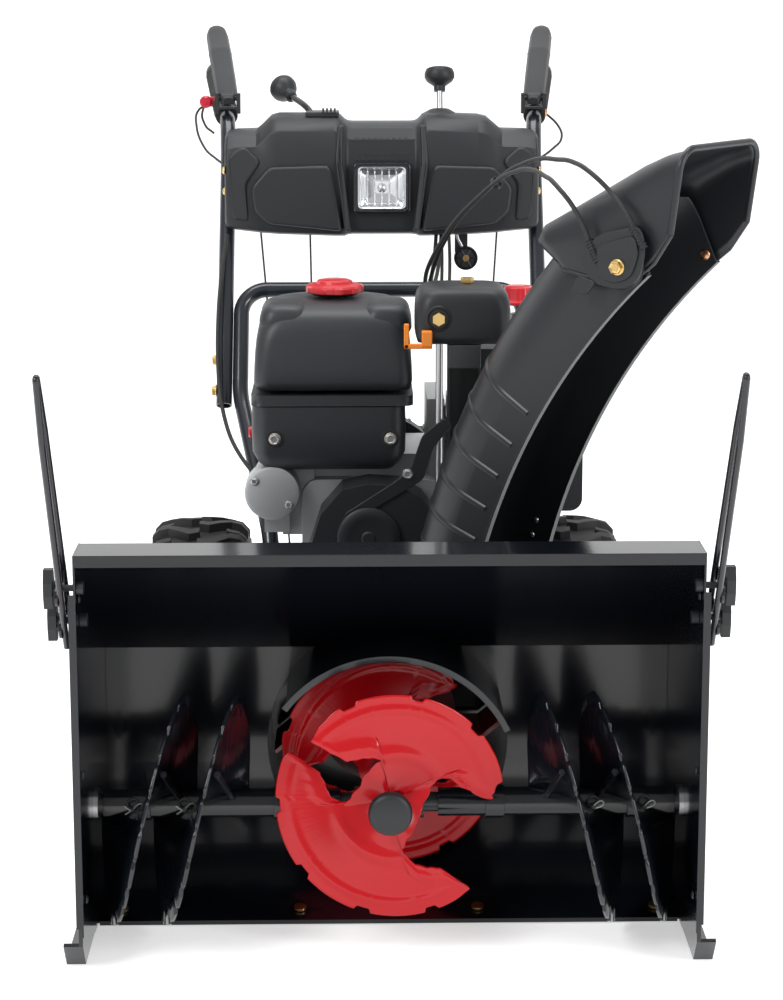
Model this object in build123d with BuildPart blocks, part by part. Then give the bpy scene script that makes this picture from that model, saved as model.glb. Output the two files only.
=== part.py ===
"""Walk-behind three-stage snowblower, modelled piece by piece in millimetres.

Machine frame while modelling: X across the machine, Y from the intake to the rear, Z up.
X = 0 is the middle of the intake, Y = 0 the front edge of its side plates, Z = 0 the ground.
At the end every piece moves so that the origin is the bottom centre of the whole machine's box.
"Left" and "right" are as seen by someone standing in front of the intake.
"""
from build123d import *
from math import asin, atan2, cos, degrees, hypot, pi, radians, sin, sqrt, tan
import os

os.makedirs("parts", exist_ok=True)

# ---------------------------------------------------------------- driving dimensions
SHEET = 2.5                 # sheet steel of the intake
HALF_WIDTH = 374.0          # middle to the inner face of a side plate
HOUSING_TOP = 528.5
TOP_DEPTH = 61.0            # depth of the flat top band
LIP_DROP = 14.5             # how far the front lip turns down
AUGER_Y, AUGER_Z = 144.0, 168.0
AUGER_R = 152.0             # tip radius of the side flights
WRAP_R = 158.0              # inside radius of the intake's curved back
WRAP_BEND_Z = 327.0         # where the back wall starts to slope forward
SCRAPER_Y = 148.0           # front edge of the scraper bar
FLOOR_SLOPE = 0.2           # rise of the scraper towards the rear, per millimetre

DRIVE_Z = 195.0             # height of the impeller shaft, on X = 0
DRUM_R = 160.0              # inside radius of the impeller drum
DRUM_BACK = 425.0
ACCELERATOR_R = 143.0
SHAFT_R = 9.5               # impeller shaft
AUGER_SHAFT_R = 12.5
RUN = 0.05                  # radial clearance of a running fit

WORM_TEETH = 10             # teeth on the worm wheel; the worm has one start
WORM_CENTRES = DRIVE_Z - AUGER_Z
WORM_R = 10.0               # pitch radius of the worm
WHEEL_R = WORM_CENTRES - WORM_R
WORM_PITCH = 2 * pi * WHEEL_R / WORM_TEETH

CRANK_X, CRANK_Z = -20.0, 438.0
CRANK_R, IMPELLER_PULLEY_R = 34.0, 102.0     # belt line radii, ratio 3
AUGER_BELT_Y = 480.0        # mid plane of the belt that turns the impeller
DRIVE_BELT_Y = 500.0        # mid plane of the belt that turns the friction disc
DISC_Z, DISC_PULLEY_R = 214.0, 68.0

FRAME_HALF = 150.0
FRAME_FRONT, FRAME_REAR = DRUM_BACK + SHEET, 800.0
FRAME_LOW, FRAME_TOP = 110.0, 305.0
FRAME_SHEET = 3.0
AXLE_Y, AXLE_Z, AXLE_R = 700.0, 203.0, 9.5
TYRE_R, TYRE_IN, TYRE_OUT = 203.0, 195.0, 350.0
RIM_R = 101.0

CHUTE_X, CHUTE_Y = 109.0, 349.4
CHUTE_AIM = 38.0            # resting aim, degrees from straight right towards the front
NECK_R = 71.0               # inside radius of the discharge neck
NECK_TOP = 398.0
RING_Z, RING_THICK = 400.0, 9.0              # the chute's gear ring
RING_TEETH, PINION_TEETH, GEAR_MODULE = 64, 12, 3.0
RING_R, PINION_R = RING_TEETH * GEAR_MODULE / 2, PINION_TEETH * GEAR_MODULE / 2
PINION_AT = radians(26 * 360 / RING_TEETH - CHUTE_AIM)     # in line with one of the ring's teeth
PINION_X = CHUTE_X + (RING_R + PINION_R) * cos(PINION_AT)
PINION_Y = CHUTE_Y + (RING_R + PINION_R) * sin(PINION_AT)
CHUTE_R = 82.0              # outside radius of the chute's round back
CHUTE_WALL = 3.0
CHUTE_DEPTH = 52.0          # straight side walls beyond the round back
CHUTE_ARC = 925.0           # radius of the chute's sweep
CHUTE_CENTRE = (914.8, 207.7)                # centre of the sweep, along the aim and up
CHUTE_START, CHUTE_END = 10.0, 50.0          # sweep angles from vertical
HINGE = (293.0, 860.0)      # deflector hinge, along the aim and up
HOOD_HALF = 92.0

HANDLE_R = 12.0
LOWER_X, UPPER_X = 217.0, 241.3
LEVER_TIP = (277.0, 1335.0, 1125.0)
DASH_HALF = 243.0

pieces = []


# ---------------------------------------------------------------- helpers
def upright(y):
    """Sketch plane across the machine; a negative extrusion runs to the rear."""
    return Plane.XZ.offset(-y)


def sideways(x):
    """Sketch plane in (Y, Z); a positive extrusion runs to +X."""
    return Plane.YZ.offset(x)


def level(z):
    """Horizontal sketch plane; a positive extrusion runs up."""
    return Plane.XY.offset(z)


def block(low, high, mode=Mode.ADD):
    """Box between two corners."""
    middle = (Vector(*low) + Vector(*high)) / 2
    size = Vector(*high) - Vector(*low)
    with Locations(middle):
        Box(size.X, size.Y, size.Z, mode=mode)


def rod(start, end, radius, mode=Mode.ADD):
    """Round bar between two points."""
    run = Vector(*end) - Vector(*start)
    with Locations(Plane(origin=start, z_dir=run)):
        Cylinder(radius, run.length, align=(Align.CENTER, Align.CENTER, Align.MIN), mode=mode)


def cone(start, end, radius_start, radius_end, mode=Mode.ADD):
    """Round taper between two points."""
    run = Vector(*end) - Vector(*start)
    with Locations(Plane(origin=start, z_dir=run)):
        Cone(radius_start, radius_end, run.length, align=(Align.CENTER, Align.CENTER, Align.MIN),
             mode=mode)


def hex_bolt(seat, direction, across, head, shank_r=0.0, shank=0.0):
    """Hexagon head standing on its seat, with any shank going the other way."""
    run = Vector(*direction).normalized()
    plane = Plane(origin=seat, z_dir=run)
    with BuildSketch(plane) as outline:
        RegularPolygon(across / 2, 6, major_radius=False)
    extrude(to_extrude=outline.sketch, amount=head)
    if shank:
        rod(seat, Vector(*seat) - run * shank, shank_r)


def bent_tube(points, bends, radius, bore=0.0):
    """Round tube swept along straight runs joined by arcs."""
    with BuildLine(Plane.XY) as path:
        FilletPolyline(*points, radius=bends)
    start = path.line @ 0
    with BuildSketch(Plane(origin=start, z_dir=path.line % 0)) as section:
        Circle(radius)
        if bore:
            Circle(bore, mode=Mode.SUBTRACT)
    sweep(sections=section.sketch, path=path.line)


def loose_bends(points):
    """Largest arc at each corner of a free cable's route: 0.45 of the shorter run."""
    bends = []
    for before, corner, after in zip(points, points[1:], points[2:]):
        run_in = Vector(*corner) - Vector(*before)
        run_out = Vector(*after) - Vector(*corner)
        half_turn = radians(run_in.get_angle(run_out)) / 2
        bends.append(0.45 * min(run_in.length, run_out.length) / tan(half_turn))
    return bends


def cable(points, radius):
    """Flexible cable along its route, with its bends printed for checking."""
    bends = loose_bends(points)
    print("cable radii", [round(bend) for bend in bends])
    bent_tube(points, bends, radius)


def gear_outline(pitch_r, teeth, module, thin=0.42):
    """Straight-sided teeth around a root circle, thinned for backlash."""
    root = pitch_r - 1.2 * module
    tip = pitch_r + 0.9 * module
    pitch = 2 * pi * pitch_r / teeth
    base = pitch * thin / 2 + 0.36 * module * 1.2
    point = pitch * thin / 2 - 0.36 * module * 0.9
    Circle(root)
    with PolarLocations(0, teeth):
        Polygon((root - 1, -base), (tip, -point), (tip, point), (root - 1, base), align=None)


def sector(inner, outer, spread):
    """Ring sector centred on the local x axis, for one blade of a screw."""
    with BuildLine(Plane.XY) as outline:
        CenterArc((0, 0), outer, -spread / 2, spread)
        CenterArc((0, 0), inner, -spread / 2, spread)
        for angle in (-spread / 2, spread / 2):
            turn = (cos(radians(angle)), sin(radians(angle)))
            Line((inner * turn[0], inner * turn[1]), (outer * turn[0], outer * turn[1]))
    make_face(outline.edges())


def screw_blade(plane, inner, outer, thick, height, start, turn):
    """Thick helical blade: a ring sector twisted through `turn` degrees over `height`."""
    spread = thick / height * abs(turn)
    with BuildSketch(plane) as section:
        sector(inner, outer, spread)
    face = section.sketch.face().rotate(Axis(plane.origin, plane.z_dir), start)
    return Solid.extrude_linear_with_rotation(face, plane.origin, plane.z_dir * height, turn)


def pulley_half(x, z, y, belt_r, bore):
    """One V-groove pulley on an axis along Y."""
    with BuildSketch(Plane(origin=(x, y, z), x_dir=(1, 0, 0), z_dir=(0, 0, 1))) as profile:
        Polygon((bore, -9), (belt_r + 4, -9), (belt_r + 4, -6.6), (belt_r - 6, -4.2),
                (belt_r - 6, 4.2), (belt_r + 4, 6.6), (belt_r + 4, 9), (bore, 9), align=None)
    revolve(profile.sketch, axis=Axis((x, y, z), (0, 1, 0)))


def belt_loop(ends, y):
    """Belt round two pulleys, each given as (x, z, belt line radius)."""
    for reach, mode in ((3.0, Mode.ADD), (-5.0, Mode.SUBTRACT)):
        with BuildSketch(upright(y - 3.6)) as loop:
            for x, z, belt_r in ends:
                with Locations((x, z)):
                    Circle(belt_r + reach)
            make_hull()
        extrude(to_extrude=loop.sketch, amount=-7.2, mode=mode)


def keep(name, builder):
    """Label a finished piece and put it on the list to write."""
    builder.part.label = name
    pieces.append(builder.part)


# ---------------------------------------------------------------- intake housing
floor_turn = degrees(atan2(FLOOR_SLOPE, 1))


lip_z = HOUSING_TOP - LIP_DROP
floor_end = (AUGER_Y + WRAP_R * sin(radians(floor_turn)),
             AUGER_Z - WRAP_R * cos(radians(floor_turn)))
floor_z = floor_end[1] - (floor_end[0] - SCRAPER_Y) * FLOOR_SLOPE


def intake_space(mode=Mode.ADD):
    """Side view of the room inside the wrap: lip, top band, slope, back wall, curve, floor."""
    top = HOUSING_TOP - SHEET
    with BuildLine(Plane.XY) as outline:
        Polyline((SCRAPER_Y, floor_z), (SCRAPER_Y, AUGER_Z), (TOP_DEPTH / 2, lip_z), (SHEET, lip_z),
                 (SHEET, top), (TOP_DEPTH, top), (AUGER_Y + WRAP_R, WRAP_BEND_Z),
                 (AUGER_Y + WRAP_R, AUGER_Z))
        CenterArc((AUGER_Y, AUGER_Z), WRAP_R, 0, -90 + floor_turn)
        Line(floor_end, (SCRAPER_Y, floor_z))
    make_face(outline.edges(), mode=mode)


with BuildPart() as auger_housing:
    with BuildSketch(upright(225)) as drum_ring:
        with Locations((0, DRIVE_Z)):
            Circle(DRUM_R + SHEET)
            Circle(DRUM_R, mode=Mode.SUBTRACT)
    extrude(amount=-(DRUM_BACK - 225))
    rod((CHUTE_X, CHUTE_Y, 244), (CHUTE_X, CHUTE_Y, NECK_TOP), NECK_R + SHEET)
    rod((CHUTE_X, CHUTE_Y, NECK_TOP - 5), (CHUTE_X, CHUTE_Y, NECK_TOP), NECK_R + 14)
    rod((CHUTE_X, CHUTE_Y, 247), (CHUTE_X, CHUTE_Y, NECK_TOP + 1), NECK_R, mode=Mode.SUBTRACT)
    with BuildSketch(sideways(-HALF_WIDTH)) as inside:
        intake_space()
    extrude(amount=2 * HALF_WIDTH, mode=Mode.SUBTRACT)
    with BuildSketch(sideways(-HALF_WIDTH)) as wrap_section:
        intake_space()
        offset(amount=SHEET, kind=Kind.INTERSECTION)
        intake_space(mode=Mode.SUBTRACT)
        Polygon((-9, -9), (SCRAPER_Y, -9), (SCRAPER_Y, AUGER_Z), (TOP_DEPTH / 2, lip_z), (-9, lip_z),
                align=None, mode=Mode.SUBTRACT)
    extrude(amount=2 * HALF_WIDTH)
    with BuildSketch(upright(200)) as mouth:
        with Locations((0, DRIVE_Z)):
            Circle(DRUM_R)
    extrude(amount=-(DRUM_BACK - 200), mode=Mode.SUBTRACT)
    with BuildSketch(upright(DRUM_BACK)) as drum_back:
        with Locations((0, DRIVE_Z)):
            Circle(DRUM_R + SHEET)
            Circle(SHAFT_R + 6, mode=Mode.SUBTRACT)
    extrude(amount=-SHEET)
keep("auger_housing", auger_housing)

KNOBS = ((10.0, 487.0), (40.0, 439.0))       # (Y, Z) of the two cutter bolts on a side plate
KNOB_BOLT_R = 4.0


def side_plate(side):
    """Flat end of the intake with its outward front flange and its bolt and bearing holes."""
    reach = WRAP_R + SHEET + 1.5
    back = AUGER_Y + reach
    face = side * HALF_WIDTH
    with BuildPart() as plate:
        with BuildSketch(sideways(face)):
            with BuildLine():
                low = (AUGER_Y + reach * sin(radians(floor_turn)),
                       AUGER_Z - reach * cos(radians(floor_turn)))
                Polyline((0, 49), (0, HOUSING_TOP), (TOP_DEPTH + 2, HOUSING_TOP), (back, WRAP_BEND_Z + 2),
                         (back, AUGER_Z))
                CenterArc((AUGER_Y, AUGER_Z), reach, 0, -90 + floor_turn)
                Polyline(low, (SCRAPER_Y, low[1] - (low[0] - SCRAPER_Y) * FLOOR_SLOPE),
                         (SCRAPER_Y - 30, 6), (0, 49))
            make_face()
            with Locations((AUGER_Y, AUGER_Z)):
                Circle(20, mode=Mode.SUBTRACT)
            with Locations(*KNOBS):
                Circle(KNOB_BOLT_R + RUN, mode=Mode.SUBTRACT)
        extrude(amount=side * SHEET)
        block((min(face, face + side * 9), 0, 60), (max(face, face + side * 9), SHEET, 480))
    return plate.part


with BuildPart() as side_plates:
    add(side_plate(-1))
    add(side_plate(1))
keep("side_plates", side_plates)

BAR = 3.0
with BuildPart() as scraper_bar:
    bar_top = floor_z - SHEET * hypot(1, FLOOR_SLOPE) - 0.05
    with BuildSketch(sideways(-HALF_WIDTH + 2)):
        with BuildLine():
            Polyline((SCRAPER_Y, bar_top), (SCRAPER_Y + 27, bar_top + 27 * FLOOR_SLOPE),
                     (SCRAPER_Y + 27, bar_top + 27 * FLOOR_SLOPE - BAR), (SCRAPER_Y, bar_top - BAR),
                     close=True)
        make_face()
    extrude(amount=2 * HALF_WIDTH - 4)
keep("scraper_bar", scraper_bar)

SHOE_WEB = 5.0
with BuildPart() as skid_shoes:
    for side in (-1, 1):
        face = side * (HALF_WIDTH + SHEET)
        with BuildSketch(sideways(face)):
            with BuildLine():
                Polyline((8, 34), (14, 120), (60, 122), (80, 96), (200, 96), (222, 60), (226, 22),
                         (214, 0), (34, 0), (8, 34))
            make_face()
            with Locations((60, 60), (180, 60)):
                SlotOverall(40, 9, mode=Mode.SUBTRACT)
        extrude(amount=side * SHOE_WEB)
        with BuildSketch(sideways(face)):
            with BuildLine():
                Polyline((8, 34), (34, 0), (214, 0), (226, 22), (221, 24), (211, 5), (37, 5),
                         (12, 37), (8, 34))
            make_face()
        extrude(amount=side * 24)
keep("skid_shoes", skid_shoes)

# ---------------------------------------------------------------- drift cutters and their knobs
CUTTER_X = 390.0
CUTTER_R = 4.0
CUTTER_TIP = (-164.0, 770.0)
lean = Vector(0, KNOBS[0][0] - KNOBS[1][0], KNOBS[0][1] - KNOBS[1][1]).normalized()
across = Vector(0, lean.Z, -lean.Y)
with BuildPart() as drift_cutters:
    for side in (-1, 1):
        low = Vector(side * CUTTER_X, KNOBS[1][0], KNOBS[1][1]) - lean * 26
        tip = Vector(side * CUTTER_X, *CUTTER_TIP)
        neck = low + lean * 330
        shoulder = low + lean * 90
        path = [low - across * 20, shoulder - across * 20, neck - across * 14, tip - across * 2.5,
                tip + across * 2.5, neck + across * 14, shoulder + across * 20, low + across * 20]
        bent_tube([tuple(point) for point in path], [60, 60, 2.4, 2.4, 60, 60], CUTTER_R)
        for y, z in KNOBS:
            centre = Vector(side * (CUTTER_X + CUTTER_R - 0.6), y, z)
            with BuildSketch(Plane(origin=centre, x_dir=across, z_dir=(side, 0, 0))) as clamp:
                SlotOverall(52, 22)
                Circle(KNOB_BOLT_R + RUN, mode=Mode.SUBTRACT)
            extrude(to_extrude=clamp.sketch, amount=3.2)
keep("drift_cutters", drift_cutters)


def wing_knob(side, y, z):
    """Moulded wing knob on its bolt; the wing tapers to two points above and below."""
    plate = side * (CUTTER_X + CUTTER_R + 2.8)
    with BuildPart() as knob:
        rod((side * (HALF_WIDTH - 4), y, z), (plate, y, z), KNOB_BOLT_R)
        rod((side * (HALF_WIDTH - 9), y, z), (side * (HALF_WIDTH - 0.3), y, z), 8)
        rod((plate, y, z), (plate + side * 12, y, z), 9)
        with BuildSketch(sideways(plate + side * 4)):
            with Locations((y, z)):
                Polygon((-7, -24), (3, -24), (12, -8), (12, 8), (3, 24), (-7, 24), (-12, 8),
                        (-12, -8), align=None)
        extrude(amount=side * 11)
    return knob.part


for side, side_name in ((-1, "left"), (1, "right")):
    for (y, z), height_name in zip(KNOBS, ("upper", "lower")):
        with BuildPart() as wing:
            add(wing_knob(side, y, z))
        keep(f"knob_{side_name}_{height_name}", wing)

# ---------------------------------------------------------------- augers, gearbox, accelerators
PIN_X = (258.0, 323.0)
PIN_R = 3.0
with BuildPart() as auger_shaft:
    rod((-386, AUGER_Y, AUGER_Z), (386, AUGER_Y, AUGER_Z), AUGER_SHAFT_R)
    for x in PIN_X:
        for side in (-1, 1):
            rod((side * x, AUGER_Y - 30, AUGER_Z), (side * x, AUGER_Y + 30, AUGER_Z), PIN_R + 0.1,
                mode=Mode.SUBTRACT)
    with BuildSketch(sideways(-5.5)) as worm_wheel:
        with Locations((AUGER_Y, AUGER_Z)):
            gear_outline(WHEEL_R, WORM_TEETH, 3.0, thin=0.34)
    extrude(amount=11)
keep("auger_shaft", auger_shaft)

TUBE_R = 18.0
FLIGHT_THICK = 4.5
FLIGHT_TURN = 205.0
FLIGHT_RUN = 121.0


def auger(side, start, first):
    """Side auger: tube, hub collars and two helical flights of opposite hand on each side."""
    with BuildPart() as screw:
        with BuildSketch(sideways(side * 62)) as tube:
            with Locations((AUGER_Y, AUGER_Z)):
                Circle(TUBE_R)
                Circle(AUGER_SHAFT_R + 0.15, mode=Mode.SUBTRACT)
        extrude(amount=side * (362 - 62))
        for offset_x in (0, 66):
            plane = Plane(origin=(side * (first + offset_x), AUGER_Y, AUGER_Z), x_dir=(0, 1, 0),
                          z_dir=(side, 0, 0))
            add(screw_blade(plane, TUBE_R - 1, AUGER_R, FLIGHT_THICK, FLIGHT_RUN, start, FLIGHT_TURN * side))
        for x in PIN_X:
            rod((side * x, AUGER_Y - 30, AUGER_Z), (side * x, AUGER_Y + 30, AUGER_Z), PIN_R + 0.1,
                mode=Mode.SUBTRACT)
    return screw.part


with BuildPart() as augers_left:
    add(auger(-1, 76, 178))
keep("augers_left", augers_left)

with BuildPart() as augers_right:
    add(auger(1, 76, 178))
keep("augers_right", augers_right)

with BuildPart() as shear_pins:
    for side in (-1, 1):
        for x in PIN_X:
            rod((side * x, AUGER_Y - 27, AUGER_Z), (side * x, AUGER_Y + 24, AUGER_Z), PIN_R)
            rod((side * x, AUGER_Y + 18.2, AUGER_Z), (side * x, AUGER_Y + 22, AUGER_Z), 5.5)
            with Locations(Plane(origin=(side * x, AUGER_Y - 24.5, AUGER_Z + 8), z_dir=(0, 1, 0))):
                Torus(7, 1.3)
keep("shear_pins", shear_pins)

GEARBOX_R = 32.0
with BuildPart() as auger_gearbox:
    rod((-26, AUGER_Y, AUGER_Z), (26, AUGER_Y, AUGER_Z), GEARBOX_R)
    rod((0, AUGER_Y - 38, DRIVE_Z), (0, AUGER_Y + 38, DRIVE_Z), 24)
    rod((-44, AUGER_Y, AUGER_Z), (44, AUGER_Y, AUGER_Z), 20)
    rod((0, AUGER_Y, DRIVE_Z + 20), (0, AUGER_Y, DRIVE_Z + 38), 9)
    rod((-20, AUGER_Y, AUGER_Z), (20, AUGER_Y, AUGER_Z), GEARBOX_R - 4, mode=Mode.SUBTRACT)
    rod((0, AUGER_Y - 28, DRIVE_Z), (0, AUGER_Y + 28, DRIVE_Z), 18, mode=Mode.SUBTRACT)
    rod((0, AUGER_Y - 40, DRIVE_Z), (0, AUGER_Y + 40, DRIVE_Z), SHAFT_R + RUN, mode=Mode.SUBTRACT)
    rod((-46, AUGER_Y, AUGER_Z), (46, AUGER_Y, AUGER_Z), AUGER_SHAFT_R + RUN, mode=Mode.SUBTRACT)
keep("auger_gearbox", auger_gearbox)

WORM_TURNS = 3
with BuildPart() as impeller_shaft:
    waist = WORM_PITCH * WORM_TURNS / 2 + 1
    rod((0, 30, DRIVE_Z), (0, AUGER_Y - waist, DRIVE_Z), SHAFT_R)
    rod((0, AUGER_Y - waist, DRIVE_Z), (0, AUGER_Y + waist, DRIVE_Z), WORM_R - 3.4)
    rod((0, AUGER_Y + waist, DRIVE_Z), (0, AUGER_BELT_Y + 9, DRIVE_Z), SHAFT_R)
    thread_start = (0, AUGER_Y - WORM_PITCH * WORM_TURNS / 2, DRIVE_Z)
    thread_plane = Plane(origin=thread_start, x_dir=(0, 0, 1), z_dir=(0, 1, 0))
    add(screw_blade(thread_plane, WORM_R - 3.6, WORM_R + 2.6, WORM_PITCH * 0.34,
                    WORM_PITCH * WORM_TURNS, 0, 360 * WORM_TURNS))
keep("impeller_shaft", impeller_shaft)

HUB_R = 17.0


def accelerator(rear, height, lobes):
    """Two-lobed screw that feeds snow to the rear, on a hub round the impeller shaft."""
    with BuildPart() as screw:
        with BuildSketch(upright(rear)) as hub:
            with Locations((0, DRIVE_Z)):
                Circle(HUB_R)
                Circle(SHAFT_R, mode=Mode.SUBTRACT)
        extrude(amount=height)
        for start, turn in lobes:
            plane = Plane(origin=(0, rear - 2, DRIVE_Z), x_dir=(1, 0, 0), z_dir=(0, -1, 0))
            add(screw_blade(plane, HUB_R - 1, ACCELERATOR_R, 4.0, height - 4, start, turn))
    return screw.part


with BuildPart() as accelerator_front:
    add(accelerator(96, 62, ((163, 150), (-2, 139))))
    rod((0, 34.2, DRIVE_Z), (0, 20, DRIVE_Z), 27)
    fillet(accelerator_front.faces().sort_by(Axis.Y)[0].edges(), 5)
    rod((0, 34.3, DRIVE_Z), (0, 29, DRIVE_Z), SHAFT_R, mode=Mode.SUBTRACT)
keep("accelerator_front", accelerator_front)

with BuildPart() as accelerator_rear:
    add(accelerator(264, 60, ((45, 140), (225, 140))))
keep("accelerator_rear", accelerator_rear)

IMPELLER_R = 152.0
IMPELLER_Y = (318.0, 410.0)
with BuildPart() as impeller:
    with BuildSketch(upright(IMPELLER_Y[0])) as blades:
        with Locations((0, DRIVE_Z)):
            Circle(24)
            with PolarLocations(24, 4):
                Polygon((-4, -3), (104, -3), (128, 18), (125, 22), (102, 3), (-4, 3), align=None)
            Circle(SHAFT_R, mode=Mode.SUBTRACT)
    extrude(amount=-(IMPELLER_Y[1] - IMPELLER_Y[0]))
    with BuildSketch(upright(IMPELLER_Y[1])) as back_disc:
        with Locations((0, DRIVE_Z)):
            Circle(96)
            Circle(SHAFT_R, mode=Mode.SUBTRACT)
    extrude(amount=-4)
keep("impeller", impeller)

with BuildPart() as tunnel_shroud:
    with BuildSketch(upright(131)) as arch:
        with Locations((0, DRIVE_Z)):
            Circle(164)
            Circle(161, mode=Mode.SUBTRACT)
            Polygon((0, 0), (400, 187), (400, -400), (-400, -400), (-400, 301), align=None,
                    mode=Mode.SUBTRACT)
    extrude(amount=-200)
    with BuildSketch(sideways(-HALF_WIDTH)) as room:
        intake_space()
    extrude(amount=2 * HALF_WIDTH, mode=Mode.INTERSECT)
    with BuildSketch(upright(131)) as rolled_edge:
        with Locations((0, DRIVE_Z)):
            Circle(169)
            Circle(161, mode=Mode.SUBTRACT)
            Polygon((0, 0), (400, 187), (400, -400), (-400, -400), (-400, 301), align=None,
                    mode=Mode.SUBTRACT)
    extrude(amount=-7)
keep("tunnel_shroud", tunnel_shroud)

# ---------------------------------------------------------------- belts and pulleys
with BuildPart() as impeller_pulley:
    pulley_half(0, DRIVE_Z, AUGER_BELT_Y, IMPELLER_PULLEY_R, SHAFT_R)
keep("impeller_pulley", impeller_pulley)

CRANK_SHAFT_R = 12.0
ENGINE_FRONT = 545.0
with BuildPart() as crank_pulley:
    pulley_half(CRANK_X, CRANK_Z, AUGER_BELT_Y, CRANK_R, CRANK_SHAFT_R - 1)
    pulley_half(CRANK_X, CRANK_Z, DRIVE_BELT_Y, CRANK_R, CRANK_SHAFT_R - 1)
    rod((CRANK_X, AUGER_BELT_Y - 12, CRANK_Z), (CRANK_X, ENGINE_FRONT - 1, CRANK_Z), CRANK_SHAFT_R)
    rod((CRANK_X, AUGER_BELT_Y + 8, CRANK_Z), (CRANK_X, DRIVE_BELT_Y - 8, CRANK_Z), 20)
    hex_bolt((CRANK_X, AUGER_BELT_Y - 12, CRANK_Z), (0, -1, 0), 14, 6, 3, 4)
keep("crank_pulley", crank_pulley)

DISC_FACE = 553.0
with BuildPart() as friction_disc:
    pulley_half(0, DISC_Z, DRIVE_BELT_Y, DISC_PULLEY_R, 8)
    rod((0, DRIVE_BELT_Y - 9, DISC_Z), (0, DISC_FACE - 1, DISC_Z), 9)
    rod((0, DISC_FACE - 9, DISC_Z), (0, DISC_FACE, DISC_Z), 82)
keep("friction_disc", friction_disc)

with BuildPart() as drive_belts:
    belt_loop(((CRANK_X, CRANK_Z, CRANK_R), (0, DRIVE_Z, IMPELLER_PULLEY_R)), AUGER_BELT_Y)
    belt_loop(((CRANK_X, CRANK_Z, CRANK_R), (0, DISC_Z, DISC_PULLEY_R)), DRIVE_BELT_Y)
keep("drive_belts", drive_belts)

# ---------------------------------------------------------------- tractor frame, drive and wheels
WHEEL_SHAFT_Y = DISC_FACE + 62.3
with BuildPart() as tractor_frame:
    block((-FRAME_HALF, FRAME_FRONT, FRAME_LOW), (FRAME_HALF, FRAME_REAR, FRAME_TOP))
    block((-FRAME_HALF + FRAME_SHEET, FRAME_FRONT + FRAME_SHEET, FRAME_LOW - 1),
          (FRAME_HALF - FRAME_SHEET, FRAME_REAR - FRAME_SHEET, FRAME_TOP - FRAME_SHEET),
          mode=Mode.SUBTRACT)
    rod((0, FRAME_FRONT - 1, DRIVE_Z), (0, FRAME_FRONT + 9, DRIVE_Z), 36, mode=Mode.SUBTRACT)
    block((-105, AUGER_BELT_Y - 16, FRAME_TOP - 9), (105, DRIVE_BELT_Y + 16, FRAME_TOP + 9),
          mode=Mode.SUBTRACT)
    rod((-FRAME_HALF - 9, AXLE_Y, AXLE_Z), (FRAME_HALF + 9, AXLE_Y, AXLE_Z), 16, mode=Mode.SUBTRACT)
    rod((-FRAME_HALF - 9, WHEEL_SHAFT_Y, DISC_Z), (FRAME_HALF + 9, WHEEL_SHAFT_Y, DISC_Z), 9 + RUN,
        mode=Mode.SUBTRACT)
    with BuildSketch(upright(530)) as cross_wall:
        with Locations((0, (FRAME_LOW + FRAME_TOP) / 2)):
            Rectangle(2 * FRAME_HALF - 2, FRAME_TOP - FRAME_LOW - 2)
        with Locations((0, DISC_Z)):
            Circle(9 + RUN, mode=Mode.SUBTRACT)
    extrude(amount=-6)
    block((-FRAME_HALF, AUGER_BELT_Y + 20, FRAME_LOW - 2), (FRAME_HALF, FRAME_REAR, FRAME_LOW))
keep("tractor_frame", tractor_frame)

with BuildPart() as drive_shaft:
    rod((-FRAME_HALF - 6, WHEEL_SHAFT_Y, DISC_Z), (FRAME_HALF + 6, WHEEL_SHAFT_Y, DISC_Z), 9)
keep("drive_shaft", drive_shaft)

REST_SHIFT = 46.0           # where the friction wheel rests, towards the left
with BuildPart() as friction_wheel:
    with BuildSketch(sideways(-REST_SHIFT - 8)) as tread:
        with Locations((WHEEL_SHAFT_Y, DISC_Z)):
            Circle(62)
            Circle(9 + RUN, mode=Mode.SUBTRACT)
    extrude(amount=16)
    rod((-REST_SHIFT - 20, WHEEL_SHAFT_Y, DISC_Z), (-REST_SHIFT + 20, WHEEL_SHAFT_Y, DISC_Z), 20)
    rod((-REST_SHIFT - 21, WHEEL_SHAFT_Y, DISC_Z), (-REST_SHIFT + 21, WHEEL_SHAFT_Y, DISC_Z), 9 + RUN,
        mode=Mode.SUBTRACT)
keep("friction_wheel", friction_wheel)

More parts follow.
